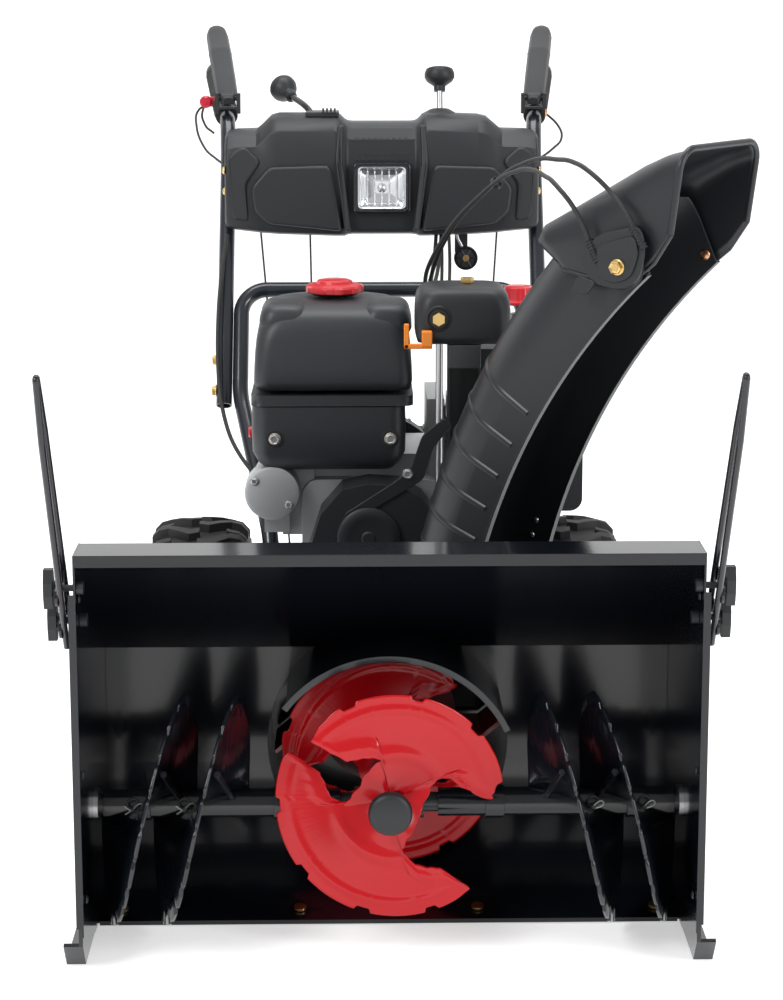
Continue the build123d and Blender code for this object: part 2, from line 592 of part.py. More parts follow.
with BuildPart() as shaft_bearings:
    for side in (-1, 1):
        with BuildSketch(sideways(side * (HALF_WIDTH + SHEET))) as auger_flange:
            with Locations((AUGER_Y, AUGER_Z)):
                Circle(33)
                Circle(AUGER_SHAFT_R + RUN, mode=Mode.SUBTRACT)
                with PolarLocations(27, 3):
                    Circle(3.2, mode=Mode.SUBTRACT)
        extrude(amount=side * 4)
        with BuildSketch(sideways(side * (HALF_WIDTH - 6))) as auger_sleeve:
            with Locations((AUGER_Y, AUGER_Z)):
                Circle(19.8)
                Circle(AUGER_SHAFT_R + RUN, mode=Mode.SUBTRACT)
        extrude(amount=side * (SHEET + 6))
        with BuildSketch(sideways(side * (FRAME_HALF - FRAME_SHEET - 8))) as bush:
            with Locations((AXLE_Y, AXLE_Z)):
                Circle(15.9)
                Circle(AXLE_R + RUN, mode=Mode.SUBTRACT)
        extrude(amount=side * (FRAME_SHEET + 20))
        with BuildSketch(sideways(side * FRAME_HALF)) as axle_flange:
            with Locations((AXLE_Y, AXLE_Z)):
                Circle(27)
                Circle(AXLE_R + RUN, mode=Mode.SUBTRACT)
        extrude(amount=side * 5)
    with BuildSketch(upright(DRUM_BACK + SHEET)) as drum_flange:
        with Locations((0, DRIVE_Z)):
            Circle(33)
            Circle(SHAFT_R + RUN, mode=Mode.SUBTRACT)
    extrude(amount=-5)
    with BuildSketch(upright(DRUM_BACK - 4)) as drum_sleeve:
        with Locations((0, DRIVE_Z)):
            Circle(15.4)
            Circle(SHAFT_R + RUN, mode=Mode.SUBTRACT)
    extrude(amount=-(SHEET + 6))
keep("shaft_bearings", shaft_bearings)


def half_axle(side):
    """Stub axle from the middle of the frame out through the wheel hub."""
    with BuildPart() as stub:
        rod((side * 8, AXLE_Y, AXLE_Z), (side * 322, AXLE_Y, AXLE_Z), AXLE_R)
        with BuildSketch(sideways(side * 112)) as sprocket:
            with Locations((AXLE_Y, AXLE_Z)):
                gear_outline(42, 26, 3.2)
        extrude(amount=side * 7)
        rod((side * 119, AXLE_Y, AXLE_Z), (side * 132, AXLE_Y, AXLE_Z), 18)
    return stub.part


def rim(side):
    """Pressed steel rim: dished disc, barrel with bead seats and a hub on the axle."""
    middle = side * (TYRE_IN + TYRE_OUT) / 2
    half = 66.0
    with BuildPart() as wheel:
        plane = Plane(origin=(middle, AXLE_Y, AXLE_Z), x_dir=(0, 1, 0), z_dir=(0, 0, -side))
        with BuildSketch(plane) as profile:
            Polygon((AXLE_R, -30), (24, -30), (24, 12), (34, 18), (66, 6), (84, 6), (84, -40), (96, -50),
                    (96, -half), (112, -half - 3), (112, -half), (RIM_R, -half + 4), (RIM_R, -46),
                    (88, -38), (88, 38), (RIM_R, 46), (RIM_R, half - 4), (112, half), (112, half + 3),
                    (96, half), (96, 50), (84, 40), (84, 10), (66, 10), (34, 22), (20, 22), (20, 34),
                    (AXLE_R, 34), align=None)
        revolve(profile.sketch, axis=Axis((middle, AXLE_Y, AXLE_Z), (1, 0, 0)))
        with BuildSketch(sideways(middle)) as holes:
            with Locations((AXLE_Y, AXLE_Z)):
                with PolarLocations(52, 5):
                    Circle(9)
        extrude(to_extrude=holes.sketch, amount=40, both=True, mode=Mode.SUBTRACT)
    return wheel.part


def tyre(side):
    """Hollow tyre carcass with low block lugs; its beads sit on the rim."""
    middle = side * (TYRE_IN + TYRE_OUT) / 2
    half = (TYRE_OUT - TYRE_IN) / 2
    lug = 11.0
    with BuildPart() as carcass:
        plane = Plane(origin=(middle, AXLE_Y, AXLE_Z), x_dir=(0, 1, 0), z_dir=(0, 0, -side))
        with BuildSketch(plane) as profile:
            with BuildLine() as outline:
                crown = TYRE_R - lug
                Polyline((RIM_R + 0.1, -58), (RIM_R + 0.1, -44), (120, -50))
                ThreePointArc((120, -50), (176, 0), (120, 50))
                Polyline((120, 50), (RIM_R + 0.1, 44), (RIM_R + 0.1, 58), (116, 64))
                ThreePointArc((116, 64), (150, half - 2), (182, 62))
                ThreePointArc((182, 62), (crown, 0), (182, -62))
                ThreePointArc((182, -62), (150, -half + 2), (116, -64))
                Line((116, -64), (RIM_R + 0.1, -58))
            make_face()
        revolve(axis=Axis((middle, AXLE_Y, AXLE_Z), (1, 0, 0)))
        with BuildSketch(sideways(middle - 2)) as lugs:
            with Locations((AXLE_Y, AXLE_Z)):
                with PolarLocations(crown - 14, 18):
                    Polygon((0, -17), (lug + 13.0, -12), (lug + 13.0, 12), (0, 17), align=None)
        extrude(to_extrude=lugs.sketch, amount=half - 9)
        with BuildSketch(sideways(middle + 2)) as other_lugs:
            with Locations((AXLE_Y, AXLE_Z)):
                with PolarLocations(crown - 14, 18, start_angle=10):
                    Polygon((0, -17), (lug + 13.0, -12), (lug + 13.0, 12), (0, 17), align=None)
        extrude(to_extrude=other_lugs.sketch, amount=-(half - 9))
    return carcass.part


for side, side_name in ((-1, "left"), (1, "right")):
    with BuildPart() as axle:
        add(half_axle(side))
    keep(f"axle_{side_name}", axle)
    with BuildPart() as rim_wheel:
        add(rim(side))
    keep(f"rim_{side_name}", rim_wheel)
    with BuildPart() as tyre_wheel:
        add(tyre(side))
    keep(f"tyre_{side_name}", tyre_wheel)

# ---------------------------------------------------------------- engine
COVER_FRONT = 456.0
with BuildPart() as belt_cover:
    outline = ((-115, 306), (-112, 400), (-90, 470), (-60, 505), (-24, 513), (20, 510), (50, 492),
               (60, 478), (58, 425), (44, 412), (44, 394), (80, 360), (80, 306))
    with BuildSketch(upright(COVER_FRONT)) as shell:
        Polygon(*outline, align=None)
    extrude(amount=-66)
    with BuildSketch(upright(COVER_FRONT + 3)) as hollow:
        Polygon(*outline, align=None)
        offset(amount=-3, kind=Kind.INTERSECTION)
        with Locations((-10, 306)):
            Rectangle(202, 8)
    extrude(amount=-90, mode=Mode.SUBTRACT)
    rod((-24, COVER_FRONT + 1, CRANK_Z), (-24, COVER_FRONT - 7, CRANK_Z), 43)
    fillet(belt_cover.faces().sort_by(Axis.Y)[0].edges(), 5)
keep("belt_cover", belt_cover)

OIL = (198.0, 700.0)
with BuildPart() as engine_block:
    block((-118, ENGINE_FRONT, 330), (84, 740, 500))
    fillet(engine_block.edges().filter_by(Axis.Y), 26)
    block((-128, 560, FRAME_TOP), (122, 740, 332))
    block((-146, 560, 417), (-100, 650, 518))
    block((60, 575, 452), (84, 715, 610))
    for step in range(9):
        x = 86 + step * 8
        block((x - 3, 580, 462), (x + 1, 700, 600))
    block((70, 600, 480), (160, 680, 580))
    block((-100, 570, 490), (60, 720, 532))
    rod((CRANK_X, ENGINE_FRONT - 2, CRANK_Z), (CRANK_X, ENGINE_FRONT + 20, CRANK_Z), 46)
    rod((CRANK_X, ENGINE_FRONT - 9, CRANK_Z), (CRANK_X, ENGINE_FRONT + 22, CRANK_Z),
        CRANK_SHAFT_R + RUN, mode=Mode.SUBTRACT)
    rod((60, 700, 520), (OIL[0] - 20, OIL[1], 560), 11)
    with Locations((OIL[0] - 20, OIL[1], 560)):
        Sphere(11)
    rod((OIL[0] - 20, OIL[1], 560), (OIL[0], OIL[1], 714), 11)
keep("engine_block", engine_block)

with BuildPart() as engine_cover:
    block((-186, 505, 533), (28, 728, 613))
    fillet(engine_cover.edges().filter_by(Axis.Z), 22)
    chamfer(engine_cover.faces().sort_by(Axis.Z)[0].edges(), 9)
    block((-150, 520, 500), (20, 700, 614), mode=Mode.SUBTRACT)
keep("engine_cover", engine_cover)

with BuildPart() as fuel_tank:
    block((-183, 507, 628), (38, 728, 752))
    fillet(fuel_tank.edges().filter_by(Axis.Z), 24)
    fillet(fuel_tank.faces().sort_by(Axis.Z)[-1].edges(), 26)
    block((-168, 522, 632), (23, 713, 722), mode=Mode.SUBTRACT)
    block((-187, 502, 613.2), (39, 733, 628))
    fillet(fuel_tank.faces().sort_by(Axis.Z)[0].edges(), 4)
    rod((-71, 620, 720), (-71, 620, 757), 30)
    rod((-71, 620, 719), (-71, 620, 758), 22, mode=Mode.SUBTRACT)
keep("fuel_tank", fuel_tank)

with BuildPart() as fuel_cap:
    with BuildSketch(level(757.3)) as cap_outline:
        with Locations((-71, 620)):
            Circle(38)
            with PolarLocations(38, 10):
                Circle(5)
    extrude(amount=13)
    rod((-71, 620, 750), (-71, 620, 758), 21.9)
    rod((-71, 620, 770), (-71, 620, 776), 24)
keep("fuel_cap", fuel_cap)

STARTER = (-159.0, 486.0)
with BuildPart() as electric_starter:
    rod((STARTER[0], 522, STARTER[1]), (STARTER[0], 559, STARTER[1]), 39)
    rod((STARTER[0], 559, STARTER[1]), (STARTER[0], 655, STARTER[1]), 30)
    block((STARTER[0] - 12, 545, STARTER[1] - 62), (STARTER[0] + 24, 559, STARTER[1] + 10))
    fillet(electric_starter.faces().sort_by(Axis.Y)[0].edges(), 5)
    block((-147, 559.5, 416), (-99, 651, 519), mode=Mode.SUBTRACT)
keep("electric_starter", electric_starter)

with BuildPart() as muffler_guard:
    block((100, 524, 458), (278, 668, 690))
    fillet(muffler_guard.edges().filter_by(Axis.Y), 18)
    block((99, 527, 461), (275, 669, 687), mode=Mode.SUBTRACT)
    rod((206, 520, 500), (206, 530, 500), 27, mode=Mode.SUBTRACT)
    block((168, 545, 478), (262, 655, 668))
    rod((206, 546, 500), (206, 530, 500), 17)
    rod((206, 547, 500), (206, 529, 500), 14, mode=Mode.SUBTRACT)
keep("muffler_guard", muffler_guard)

with BuildPart() as recoil_housing:
    rod((CRANK_X, 741, CRANK_Z), (CRANK_X, 770, CRANK_Z), 120)
    cone((CRANK_X, 770, CRANK_Z), (CRANK_X, 812, CRANK_Z), 112, 88)
    rod((CRANK_X, 740, CRANK_Z), (CRANK_X, 805, CRANK_Z), 84, mode=Mode.SUBTRACT)
    for angle in range(0, 360, 30):
        spot = (CRANK_X + 55 * cos(radians(angle)), 800, CRANK_Z + 55 * sin(radians(angle)))
        rod(spot, (spot[0], 816, spot[2]), 9, mode=Mode.SUBTRACT)
    block((60, 765, CRANK_Z + 60), (92, 800, CRANK_Z + 92))
    rod((76, 755, CRANK_Z + 76), (76, 830, CRANK_Z + 76), 6, mode=Mode.SUBTRACT)
keep("recoil_housing", recoil_housing)

with BuildPart() as recoil_handle:
    rod((76, 780, CRANK_Z + 76), (76, 806, CRANK_Z + 76), 2.5)
    rod((40, 816, CRANK_Z + 76), (112, 816, CRANK_Z + 76), 11)
    fillet(recoil_handle.edges().filter_by(GeomType.CIRCLE).group_by(SortBy.RADIUS)[-1], 6)
keep("recoil_handle", recoil_handle)

with BuildPart() as oil_cap:
    with BuildSketch(level(728)) as cap_outline:
        with Locations((OIL[0], OIL[1])):
            Circle(25)
            with PolarLocations(24, 8):
                Circle(4)
    extrude(amount=27)
    rod((OIL[0], OIL[1], 717), (OIL[0], OIL[1], 729), 15)
keep("oil_cap", oil_cap)

# ---------------------------------------------------------------- chute
aim = Vector(cos(radians(CHUTE_AIM)), -sin(radians(CHUTE_AIM)), 0)
side_on = aim.cross(Vector(0, 0, 1))                    # towards the front left
chute_plane = Plane(origin=(CHUTE_X, CHUTE_Y, 0), x_dir=aim, z_dir=side_on)


def chute_point(angle):
    """Centre of the chute's section, along the aim and up, at an angle from vertical."""
    return (CHUTE_CENTRE[0] - CHUTE_ARC * cos(radians(angle)),
            CHUTE_CENTRE[1] + CHUTE_ARC * sin(radians(angle)))


def chute_place(along, up, over=0.0):
    """Machine position of a point given along the aim, up, and towards the near side."""
    return Vector(CHUTE_X, CHUTE_Y, up) + aim * along + side_on * over


def across_chute(over):
    """Sketch plane in (along, up), `over` towards the near side of the chute's middle."""
    return chute_plane.offset(over)


SUPPORT_X = (86.0, 132.0)
with BuildPart() as chute:
    start = chute_point(CHUTE_START)
    tangent = aim * sin(radians(CHUTE_START)) + Vector(0, 0, cos(radians(CHUTE_START)))
    with BuildLine(chute_plane) as sweep_line:
        ThreePointArc(start, chute_point((CHUTE_START + CHUTE_END) / 2), chute_point(CHUTE_END))
    with BuildSketch(Plane(origin=chute_place(*start), x_dir=side_on, z_dir=tangent)) as u_section:
        with BuildLine():
            Polyline((CHUTE_R + 6, CHUTE_DEPTH), (CHUTE_R + 6, CHUTE_DEPTH - 3), (CHUTE_R, CHUTE_DEPTH - 3),
                     (CHUTE_R, 0))
            ThreePointArc((CHUTE_R, 0), (0, -CHUTE_R), (-CHUTE_R, 0))
            Polyline((-CHUTE_R, 0), (-CHUTE_R, CHUTE_DEPTH - 3), (-CHUTE_R - 6, CHUTE_DEPTH - 3),
                     (-CHUTE_R - 6, CHUTE_DEPTH), (CHUTE_WALL - CHUTE_R, CHUTE_DEPTH),
                     (CHUTE_WALL - CHUTE_R, 0))
            ThreePointArc((CHUTE_WALL - CHUTE_R, 0), (0, CHUTE_WALL - CHUTE_R), (CHUTE_R - CHUTE_WALL, 0))
            Polyline((CHUTE_R - CHUTE_WALL, 0), (CHUTE_R - CHUTE_WALL, CHUTE_DEPTH),
                     (CHUTE_R + 6, CHUTE_DEPTH))
        make_face()
    sweep(path=sweep_line.line)
    with BuildSketch(across_chute(-110)) as above:
        Polygon((40, 836), (146, 851), (215, 905), (262, 930), (284, 930), (322, 850), (480, 850),
                (480, 1250), (40, 1250), align=None)
        Polygon((-200, 300), (200, 300), (200, RING_Z + 4), (-200, RING_Z + 4), align=None)
    extrude(amount=220, mode=Mode.SUBTRACT)
    with BuildSketch(Plane(origin=(CHUTE_X, CHUTE_Y, RING_Z), x_dir=aim, z_dir=(0, 0, 1))) as ring:
        gear_outline(RING_R, RING_TEETH, GEAR_MODULE)
        with Locations((4, 0)):
            Circle(NECK_R - 7, mode=Mode.SUBTRACT)
    extrude(amount=RING_THICK)
    with BuildSketch(Plane(origin=(CHUTE_X, CHUTE_Y, RING_Z + 1), x_dir=aim, z_dir=(0, 0, 1))) as spigot:
        Circle(NECK_R - 0.6)
        Circle(NECK_R - 3.6, mode=Mode.SUBTRACT)
    extrude(amount=-19)
    for over in (-HOOD_HALF - 4, CHUTE_R - CHUTE_WALL):
        rod(chute_place(*HINGE, over), chute_place(*HINGE, over + HOOD_HALF + 4 - CHUTE_R + CHUTE_WALL), 5)
keep("chute", chute)

with BuildPart() as deflector:
    with BuildSketch(across_chute(-HOOD_HALF)) as hood_outline:
        Polygon((158, 895), (311, 985), (364, 1003), (370, 950), (356, 900), (324, 846), (286, 838),
                (201, 850), align=None)
    extrude(amount=2 * HOOD_HALF)
    with BuildSketch(across_chute(3 - HOOD_HALF)) as hood_inside:
        Polygon((148, 884), (159.5, 892), (312.5, 981.5), (364, 999), (392, 1006), (376, 830), (286, 800),
                (201, 820), align=None)
    extrude(amount=2 * HOOD_HALF - 6, mode=Mode.SUBTRACT)
    rod(chute_place(*HINGE, HOOD_HALF), chute_place(*HINGE, HOOD_HALF + 10), 27)
    rod(chute_place(*HINGE, HOOD_HALF + 3), chute_place(*HINGE, HOOD_HALF + 7), 29)
    rod(chute_place(*HINGE, -120), chute_place(*HINGE, 120), 5 + RUN, mode=Mode.SUBTRACT)
keep("deflector", deflector)

with BuildPart() as pitch_bracket:
    with BuildSketch(across_chute(HOOD_HALF + 11)) as plate:
        Polygon((240, 872), (318, 905), (324, 872), (308, 842), (272, 838), (252, 850), align=None)
    extrude(amount=3)
    rod(chute_place(*HINGE, HOOD_HALF + 4.2), chute_place(*HINGE, HOOD_HALF + 11), 4.9)
    hex_bolt(chute_place(*HINGE, HOOD_HALF + 14), side_on, 13, 7)
    for end, before in ((chute_place(314, 905, 104), Vector(282, 84, 926)),
                        (chute_place(252, 885, 104), Vector(235, 120, 906))):
        rod(end, end + (end - before).normalized() * 22, 4.5)
keep("pitch_bracket", pitch_bracket)

with BuildPart() as chute_pinion:
    turn = Vector(CHUTE_X - PINION_X, CHUTE_Y - PINION_Y, 0)
    plane = Plane(origin=(PINION_X, PINION_Y, RING_Z + 0.5), x_dir=turn, z_dir=(0, 0, 1))
    with BuildSketch(plane.rotated((0, 0, 180 / PINION_TEETH))) as pinion_face:
        gear_outline(PINION_R, PINION_TEETH, GEAR_MODULE)
    extrude(amount=RING_THICK - 1)
    rod((PINION_X, PINION_Y, 386), (PINION_X, PINION_Y, 716), 5)
    rod((PINION_X, PINION_Y, RING_Z + RING_THICK - 1), (PINION_X, PINION_Y, RING_Z + RING_THICK + 14), 9)
keep("chute_pinion", chute_pinion)

with BuildPart() as chute_head:
    block((40, 420, 710), (170, 540, 789))
    fillet(chute_head.edges().filter_by(Axis.Z), 20)
    fillet(chute_head.faces().sort_by(Axis.Z)[-1].edges(), 18)
    block((52, 436, 713), (154, 524, 770), mode=Mode.SUBTRACT)
    rod((PINION_X, PINION_Y, 700), (PINION_X, PINION_Y, 714), 5 + RUN, mode=Mode.SUBTRACT)
    block((24, 407, 708), (63, 413, 742))
    block((44, 413, 714), (58, 421, 730))
keep("chute_head", chute_head)

# ---------------------------------------------------------------- handles, dash and controls
GRIP_END = {side: (side * 277, 1342.4, 1034) for side in (-1, 1)}      # below the levers by their travel
with BuildPart() as handle_tubes:
    legs = [(-164, 618, 262), (-166, 652, 387), (-LOWER_X, 811, 574), (-LOWER_X, 900, 723),
            (LOWER_X, 900, 723), (LOWER_X, 811, 574), (166, 652, 387), (164, 618, 262)]
    bent_tube(legs, [120, 140, 40, 40, 140, 120], HANDLE_R, HANDLE_R - 2)
    for side in (-1, 1):
        x = side * UPPER_X
        bent_tube([(x, 802, 559), (x, 1010, 907), (side * 244, 1062, 972), GRIP_END[side]],
                  [200, 60], HANDLE_R, HANDLE_R - 2)
keep("handle_tubes", handle_tubes)

with BuildPart() as grips:
    for side in (-1, 1):
        high = Vector(*GRIP_END[side])
        run = (high - Vector(side * 244, 1062, 972)).normalized()
        low = high - run * 256
        with BuildSketch(Plane(origin=low, z_dir=run)) as sleeve:
            Circle(18)
            Circle(HANDLE_R + 0.25, mode=Mode.SUBTRACT)
        extrude(to_extrude=sleeve.sketch, amount=(high - low).length)
        rod(high + run * 0.3, high + run * 8, 18)
keep("grips", grips)


LEVER_PIVOT_Z = 1008.0


def hand_lever(side):
    """Long paddle over a grip, with the ear that pivots on the handle."""
    pivot = Vector(side * 244, 1066, LEVER_PIVOT_Z)
    tip = Vector(side * LEVER_TIP[0], LEVER_TIP[1], LEVER_TIP[2] - 14)
    run = (tip - pivot).normalized()
    with BuildPart() as paddle:
        wide = Plane(origin=pivot, x_dir=run.cross(Vector(0, 0, 1)), z_dir=run)
        with BuildSketch(wide) as low_end:
            RectangleRounded(21, 15, 5)
        with BuildSketch(wide.offset((tip - pivot).length * 0.6)) as middle:
            RectangleRounded(40, 20, 7)
        with BuildSketch(wide.offset((tip - pivot).length)) as top_end:
            RectangleRounded(30, 16, 7)
        loft(sections=[low_end.sketch, middle.sketch, top_end.sketch])
        rod((side * 234, 1066, LEVER_PIVOT_Z), (side * 254, 1066, LEVER_PIVOT_Z), 9)
        rod((side * 224, 1066, LEVER_PIVOT_Z), (side * 264, 1066, LEVER_PIVOT_Z), 4 + RUN, mode=Mode.SUBTRACT)
    return paddle.part


for side, lever_name in ((-1, "drive_lever"), (1, "auger_lever")):
    with BuildPart() as lever:
        add(hand_lever(side))
    keep(lever_name, lever)

with BuildPart() as dash_panel:
    with BuildSketch(sideways(-DASH_HALF)) as dash_side:
        Polygon((915, 812), (925, 806), (934, 806), (1030, 965), (1022, 975), (950, 975), (928, 955),
                (915, 920), align=None)
    extrude(amount=2 * DASH_HALF)
    with BuildSketch(sideways(-DASH_HALF + 3)) as dash_room:
        Polygon((918, 814), (926, 803), (938, 803), (1034, 962), (1026, 972), (951, 972), (931, 953),
                (918, 919), align=None)
    extrude(amount=2 * DASH_HALF - 6, mode=Mode.SUBTRACT)
    block((-41, 905, 842), (41, 922, 914), mode=Mode.SUBTRACT)
    block((-128, 960, 965), (-78, 1012, 990), mode=Mode.SUBTRACT)
    rod((92, 1000, 960), (92, 1000, 990), 20, mode=Mode.SUBTRACT)
keep("dash_panel", dash_panel)

with BuildPart() as headlight:
    block((-40.8, 914, 842.2), (40.8, 918, 913.8))
    fillet(headlight.edges().filter_by(Axis.Y), 8)
    block((-38, 918, 845), (38, 940, 911))
    block((-34, 919.5, 849), (34, 938, 907), mode=Mode.SUBTRACT)
keep("headlight", headlight)

with BuildPart() as shift_lever:
    block((-107, 978, 922), (-99, 992, 938))
    rod((-103, 985, 930), (-103, 985, 986), 5)
    with Locations((-103, 985, 986)):
        Sphere(5)
    rod((-103, 985, 986), (-156, 1082, 1020), 5)
    with Locations((-158, 1087, 1026)):
        Sphere(20)
    rod((-116, 985, 930), (-90, 985, 930), 4)
keep("shift_lever", shift_lever)

with BuildPart() as control_brackets:
    block((-150, 975, 912), (-117, 995, 962))
    block((-89, 975, 912), (-84, 995, 962))
    rod((-151, 985, 930), (-80, 985, 930), 4 + RUN, mode=Mode.SUBTRACT)
    block((68, 978, 926), (82, 998, 950))
    block((68, 978, 903), (106, 996, 926))
    for side in (-1, 1):
        rod((side * 228, 1066, LEVER_PIVOT_Z), (side * 260, 1066, LEVER_PIVOT_Z), 4)
        outer, inner = side * 264, side * 258
        block((min(inner, outer), 1058, 984), (max(inner, outer), 1074, LEVER_PIVOT_Z + 8))
        outer, inner = side * 230, side * 224
        block((min(inner, outer), 1058, 984), (max(inner, outer), 1074, LEVER_PIVOT_Z + 8))
        block((min(side * 224, side * 264), 1058, 991), (max(side * 224, side * 264), 1074, 995))
    block((SUPPORT_X[0], 496, FRAME_TOP), (SUPPORT_X[1], 520, 710))
    block((SUPPORT_X[0] + 3, 495, FRAME_TOP + 3), (SUPPORT_X[1] - 3, 517, 707), mode=Mode.SUBTRACT)
    block((PINION_X - 14, PINION_Y - 14, 388), (SUPPORT_X[1] - 2, 499, 392))
    rod((PINION_X, PINION_Y, 380), (PINION_X, PINION_Y, 400), 5 + RUN, mode=Mode.SUBTRACT)
    rod((131, 935, 767), (131, 945, 767), 18)
    rod((131, 933, 767), (131, 950, 767), 5)
    block((114, 946, 760), (134, 950, 812))
keep("control_brackets", control_brackets)

with BuildPart() as joystick:
    rod((92, 988, 940), (92, 1024, 1038), 4)
    with BuildSketch(Plane(origin=(92, 1024, 1036), z_dir=(0, 0.34, 0.94))) as knob_low:
        Circle(9)
    extrude(to_extrude=knob_low.sketch, amount=8)
    with Locations((92, 1027, 1046)):
        Cylinder(22, 10)
    with Locations((92, 988, 940)):
        Sphere(8)
keep("joystick", joystick)

CABLE_R = 3.0
far_cable = [(98, 985, 902.4), (96, 972, 855), (93, 940, 812), (89, 893, 780), (84, 838, 762),
             (79, 780, 755), (74, 722, 752), (69, 664, 756), (66, 608, 768), (68, 560, 798),
             (82, 525, 840), (104, 487, 880), (132, 448, 914), (160, 405, 946), (180, 358, 962),
             (196, 305, 972), (211, 232, 977), (226, 165, 979), (243, 119, 970), (264, 103, 950),
             (282, 84, 926), tuple(chute_place(314, 905, 104))]
near_cable = [(90, 985, 902.4), (88, 972, 855), (85, 940, 812), (81, 893, 780), (76, 838, 762),
              (71, 780, 755), (66, 722, 752), (61, 664, 756), (58, 608, 768), (60, 560, 798),
              (75, 520, 836), (97, 482, 876), (125, 443, 910), (150, 395, 938), (166, 345, 952),
              (181, 288, 960), (195, 215, 958), (206, 148, 950), (222, 131, 930), (235, 120, 906),
              tuple(chute_place(252, 885, 104))]
with BuildPart() as pitch_cables:
    cable(far_cable, CABLE_R)
    cable(near_cable, CABLE_R)
keep("pitch_cables", pitch_cables)

clutch_cable = [(-240, 922, 806), (-247, 896, 757), (-251, 866, 707), (-252, 836, 657),
                (-250, 806, 607), (-243, 774, 559), (-228, 740, 517), (-202, 706, 484),
                (-168, 684, 455), (-124, 674, 436)]
with BuildPart() as control_wires:
    cable(clutch_cable, CABLE_R)
    rod((-189, 952, 809), (-140, 790, FRAME_TOP), 1.5)
    rod((180, 952, 809), (140, 790, FRAME_TOP), 1.5)
    rod((-112, 952, 809), (-100, 790, FRAME_TOP), 1.5)
keep("control_wires", control_wires)

with BuildPart() as fasteners:
    for x, z in ((-154, 567), (7, 567)):
        hex_bolt((x, 505, z), (0, -1, 0), 13, 6)
    for side in (-1, 1):
        for y, z in ((814.5, 580), (840, 623)):
            hex_bolt((side * (UPPER_X + HANDLE_R), y, z), (side, 0, 0), 13, 6)
        for x in (345, 115):
            with Locations(Plane(origin=(side * x, 172, floor_z + 24 * FLOOR_SLOPE + 1), z_dir=(0, -0.196, 0.981))):
                Cylinder(8, 3, align=(Align.CENTER, Align.CENTER, Align.MIN))
    hex_bolt((71, 420, 748), (0, -1, 0), 16, 7)
    hex_bolt((112, 480, 789), (0, 0, 1), 16, 7)
keep("fasteners", fasteners)

# ---------------------------------------------------------------- the common origin, and the files
whole = Compound(children=[piece.moved(Location()) for piece in pieces]).bounding_box()
origin = Location((-(whole.min.X + whole.max.X) / 2, -(whole.min.Y + whole.max.Y) / 2, -whole.min.Z))
for piece in pieces:
    name = piece.label
    placed = piece.moved(origin)
    placed.label = name
    export_step(placed, f"parts/{name}.step")
print("origin moved by", origin.position, "size", whole.size, "pieces", len(pieces))
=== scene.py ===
import math

import bmesh
import bpy
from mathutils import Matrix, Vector


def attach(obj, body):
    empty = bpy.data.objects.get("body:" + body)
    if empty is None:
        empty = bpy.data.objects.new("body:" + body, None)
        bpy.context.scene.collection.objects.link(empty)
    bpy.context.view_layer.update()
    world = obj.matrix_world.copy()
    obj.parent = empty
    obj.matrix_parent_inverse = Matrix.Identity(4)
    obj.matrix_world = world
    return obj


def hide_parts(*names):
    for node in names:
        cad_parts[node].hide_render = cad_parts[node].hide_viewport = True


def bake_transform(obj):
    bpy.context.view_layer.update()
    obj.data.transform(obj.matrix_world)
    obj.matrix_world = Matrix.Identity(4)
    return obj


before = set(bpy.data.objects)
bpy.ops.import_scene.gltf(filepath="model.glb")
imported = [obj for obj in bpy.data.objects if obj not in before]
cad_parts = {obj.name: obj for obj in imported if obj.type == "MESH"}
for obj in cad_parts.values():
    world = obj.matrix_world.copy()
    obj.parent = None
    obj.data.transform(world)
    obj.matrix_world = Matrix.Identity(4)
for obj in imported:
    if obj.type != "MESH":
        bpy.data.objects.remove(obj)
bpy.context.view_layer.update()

SHIFT = Vector((-22.7024, -592.507, 0.0))
COS, SIN, PI = math.cos, math.sin, math.pi


def at(x, y, z):
    """Machine millimetres to the row frame in metres."""
    return (Vector((x, y, z)) + SHIFT) / 1000


# ---------------------------------------------------------------- materials
def material(name, color, rough=0.5, metal=0.0, coat=0.0, specular=0.5, bump=0.0, scale=900.0,
             bevel=0.0012, transmission=0.0, mottle=0.0):
    made = bpy.data.materials.new(name)
    made.use_nodes = True
    made.diffuse_color = (*color, 1.0)
    nodes, links = made.node_tree.nodes, made.node_tree.links
    shader = nodes["Principled BSDF"]
    shader.inputs["Base Color"].default_value = (*color, 1.0)
    shader.inputs["Roughness"].default_value = rough
    shader.inputs["Metallic"].default_value = metal
    shader.inputs["Coat Weight"].default_value = coat
    shader.inputs["Coat Roughness"].default_value = 0.08
    shader.inputs["Specular IOR Level"].default_value = specular
    shader.inputs["Transmission Weight"].default_value = transmission
    normal = None
    if bevel:
        rounded = nodes.new("ShaderNodeBevel")
        rounded.samples = 4
        rounded.inputs["Radius"].default_value = bevel
        normal = rounded.outputs["Normal"]
    if bump or mottle:
        place = nodes.new("ShaderNodeTexCoord")
        noise = nodes.new("ShaderNodeTexNoise")
        noise.inputs["Scale"].default_value = scale
        noise.inputs["Detail"].default_value = 3.0
        links.new(place.outputs["Object"], noise.inputs["Vector"])
    if bump:
        raised = nodes.new("ShaderNodeBump")
        raised.inputs["Strength"].default_value = bump
        raised.inputs["Distance"].default_value = 0.0004
        links.new(noise.outputs["Fac"], raised.inputs["Height"])
        if normal:
            links.new(normal, raised.inputs["Normal"])
        normal = raised.outputs["Normal"]
    if mottle:
        spread = nodes.new("ShaderNodeMapRange")
        spread.inputs["To Min"].default_value = max(0.0, rough - mottle)
        spread.inputs["To Max"].default_value = rough + mottle
        links.new(noise.outputs["Fac"], spread.inputs["Value"])
        links.new(spread.outputs["Result"], shader.inputs["Roughness"])
    if normal:
        links.new(normal, shader.inputs["Normal"])
    return made


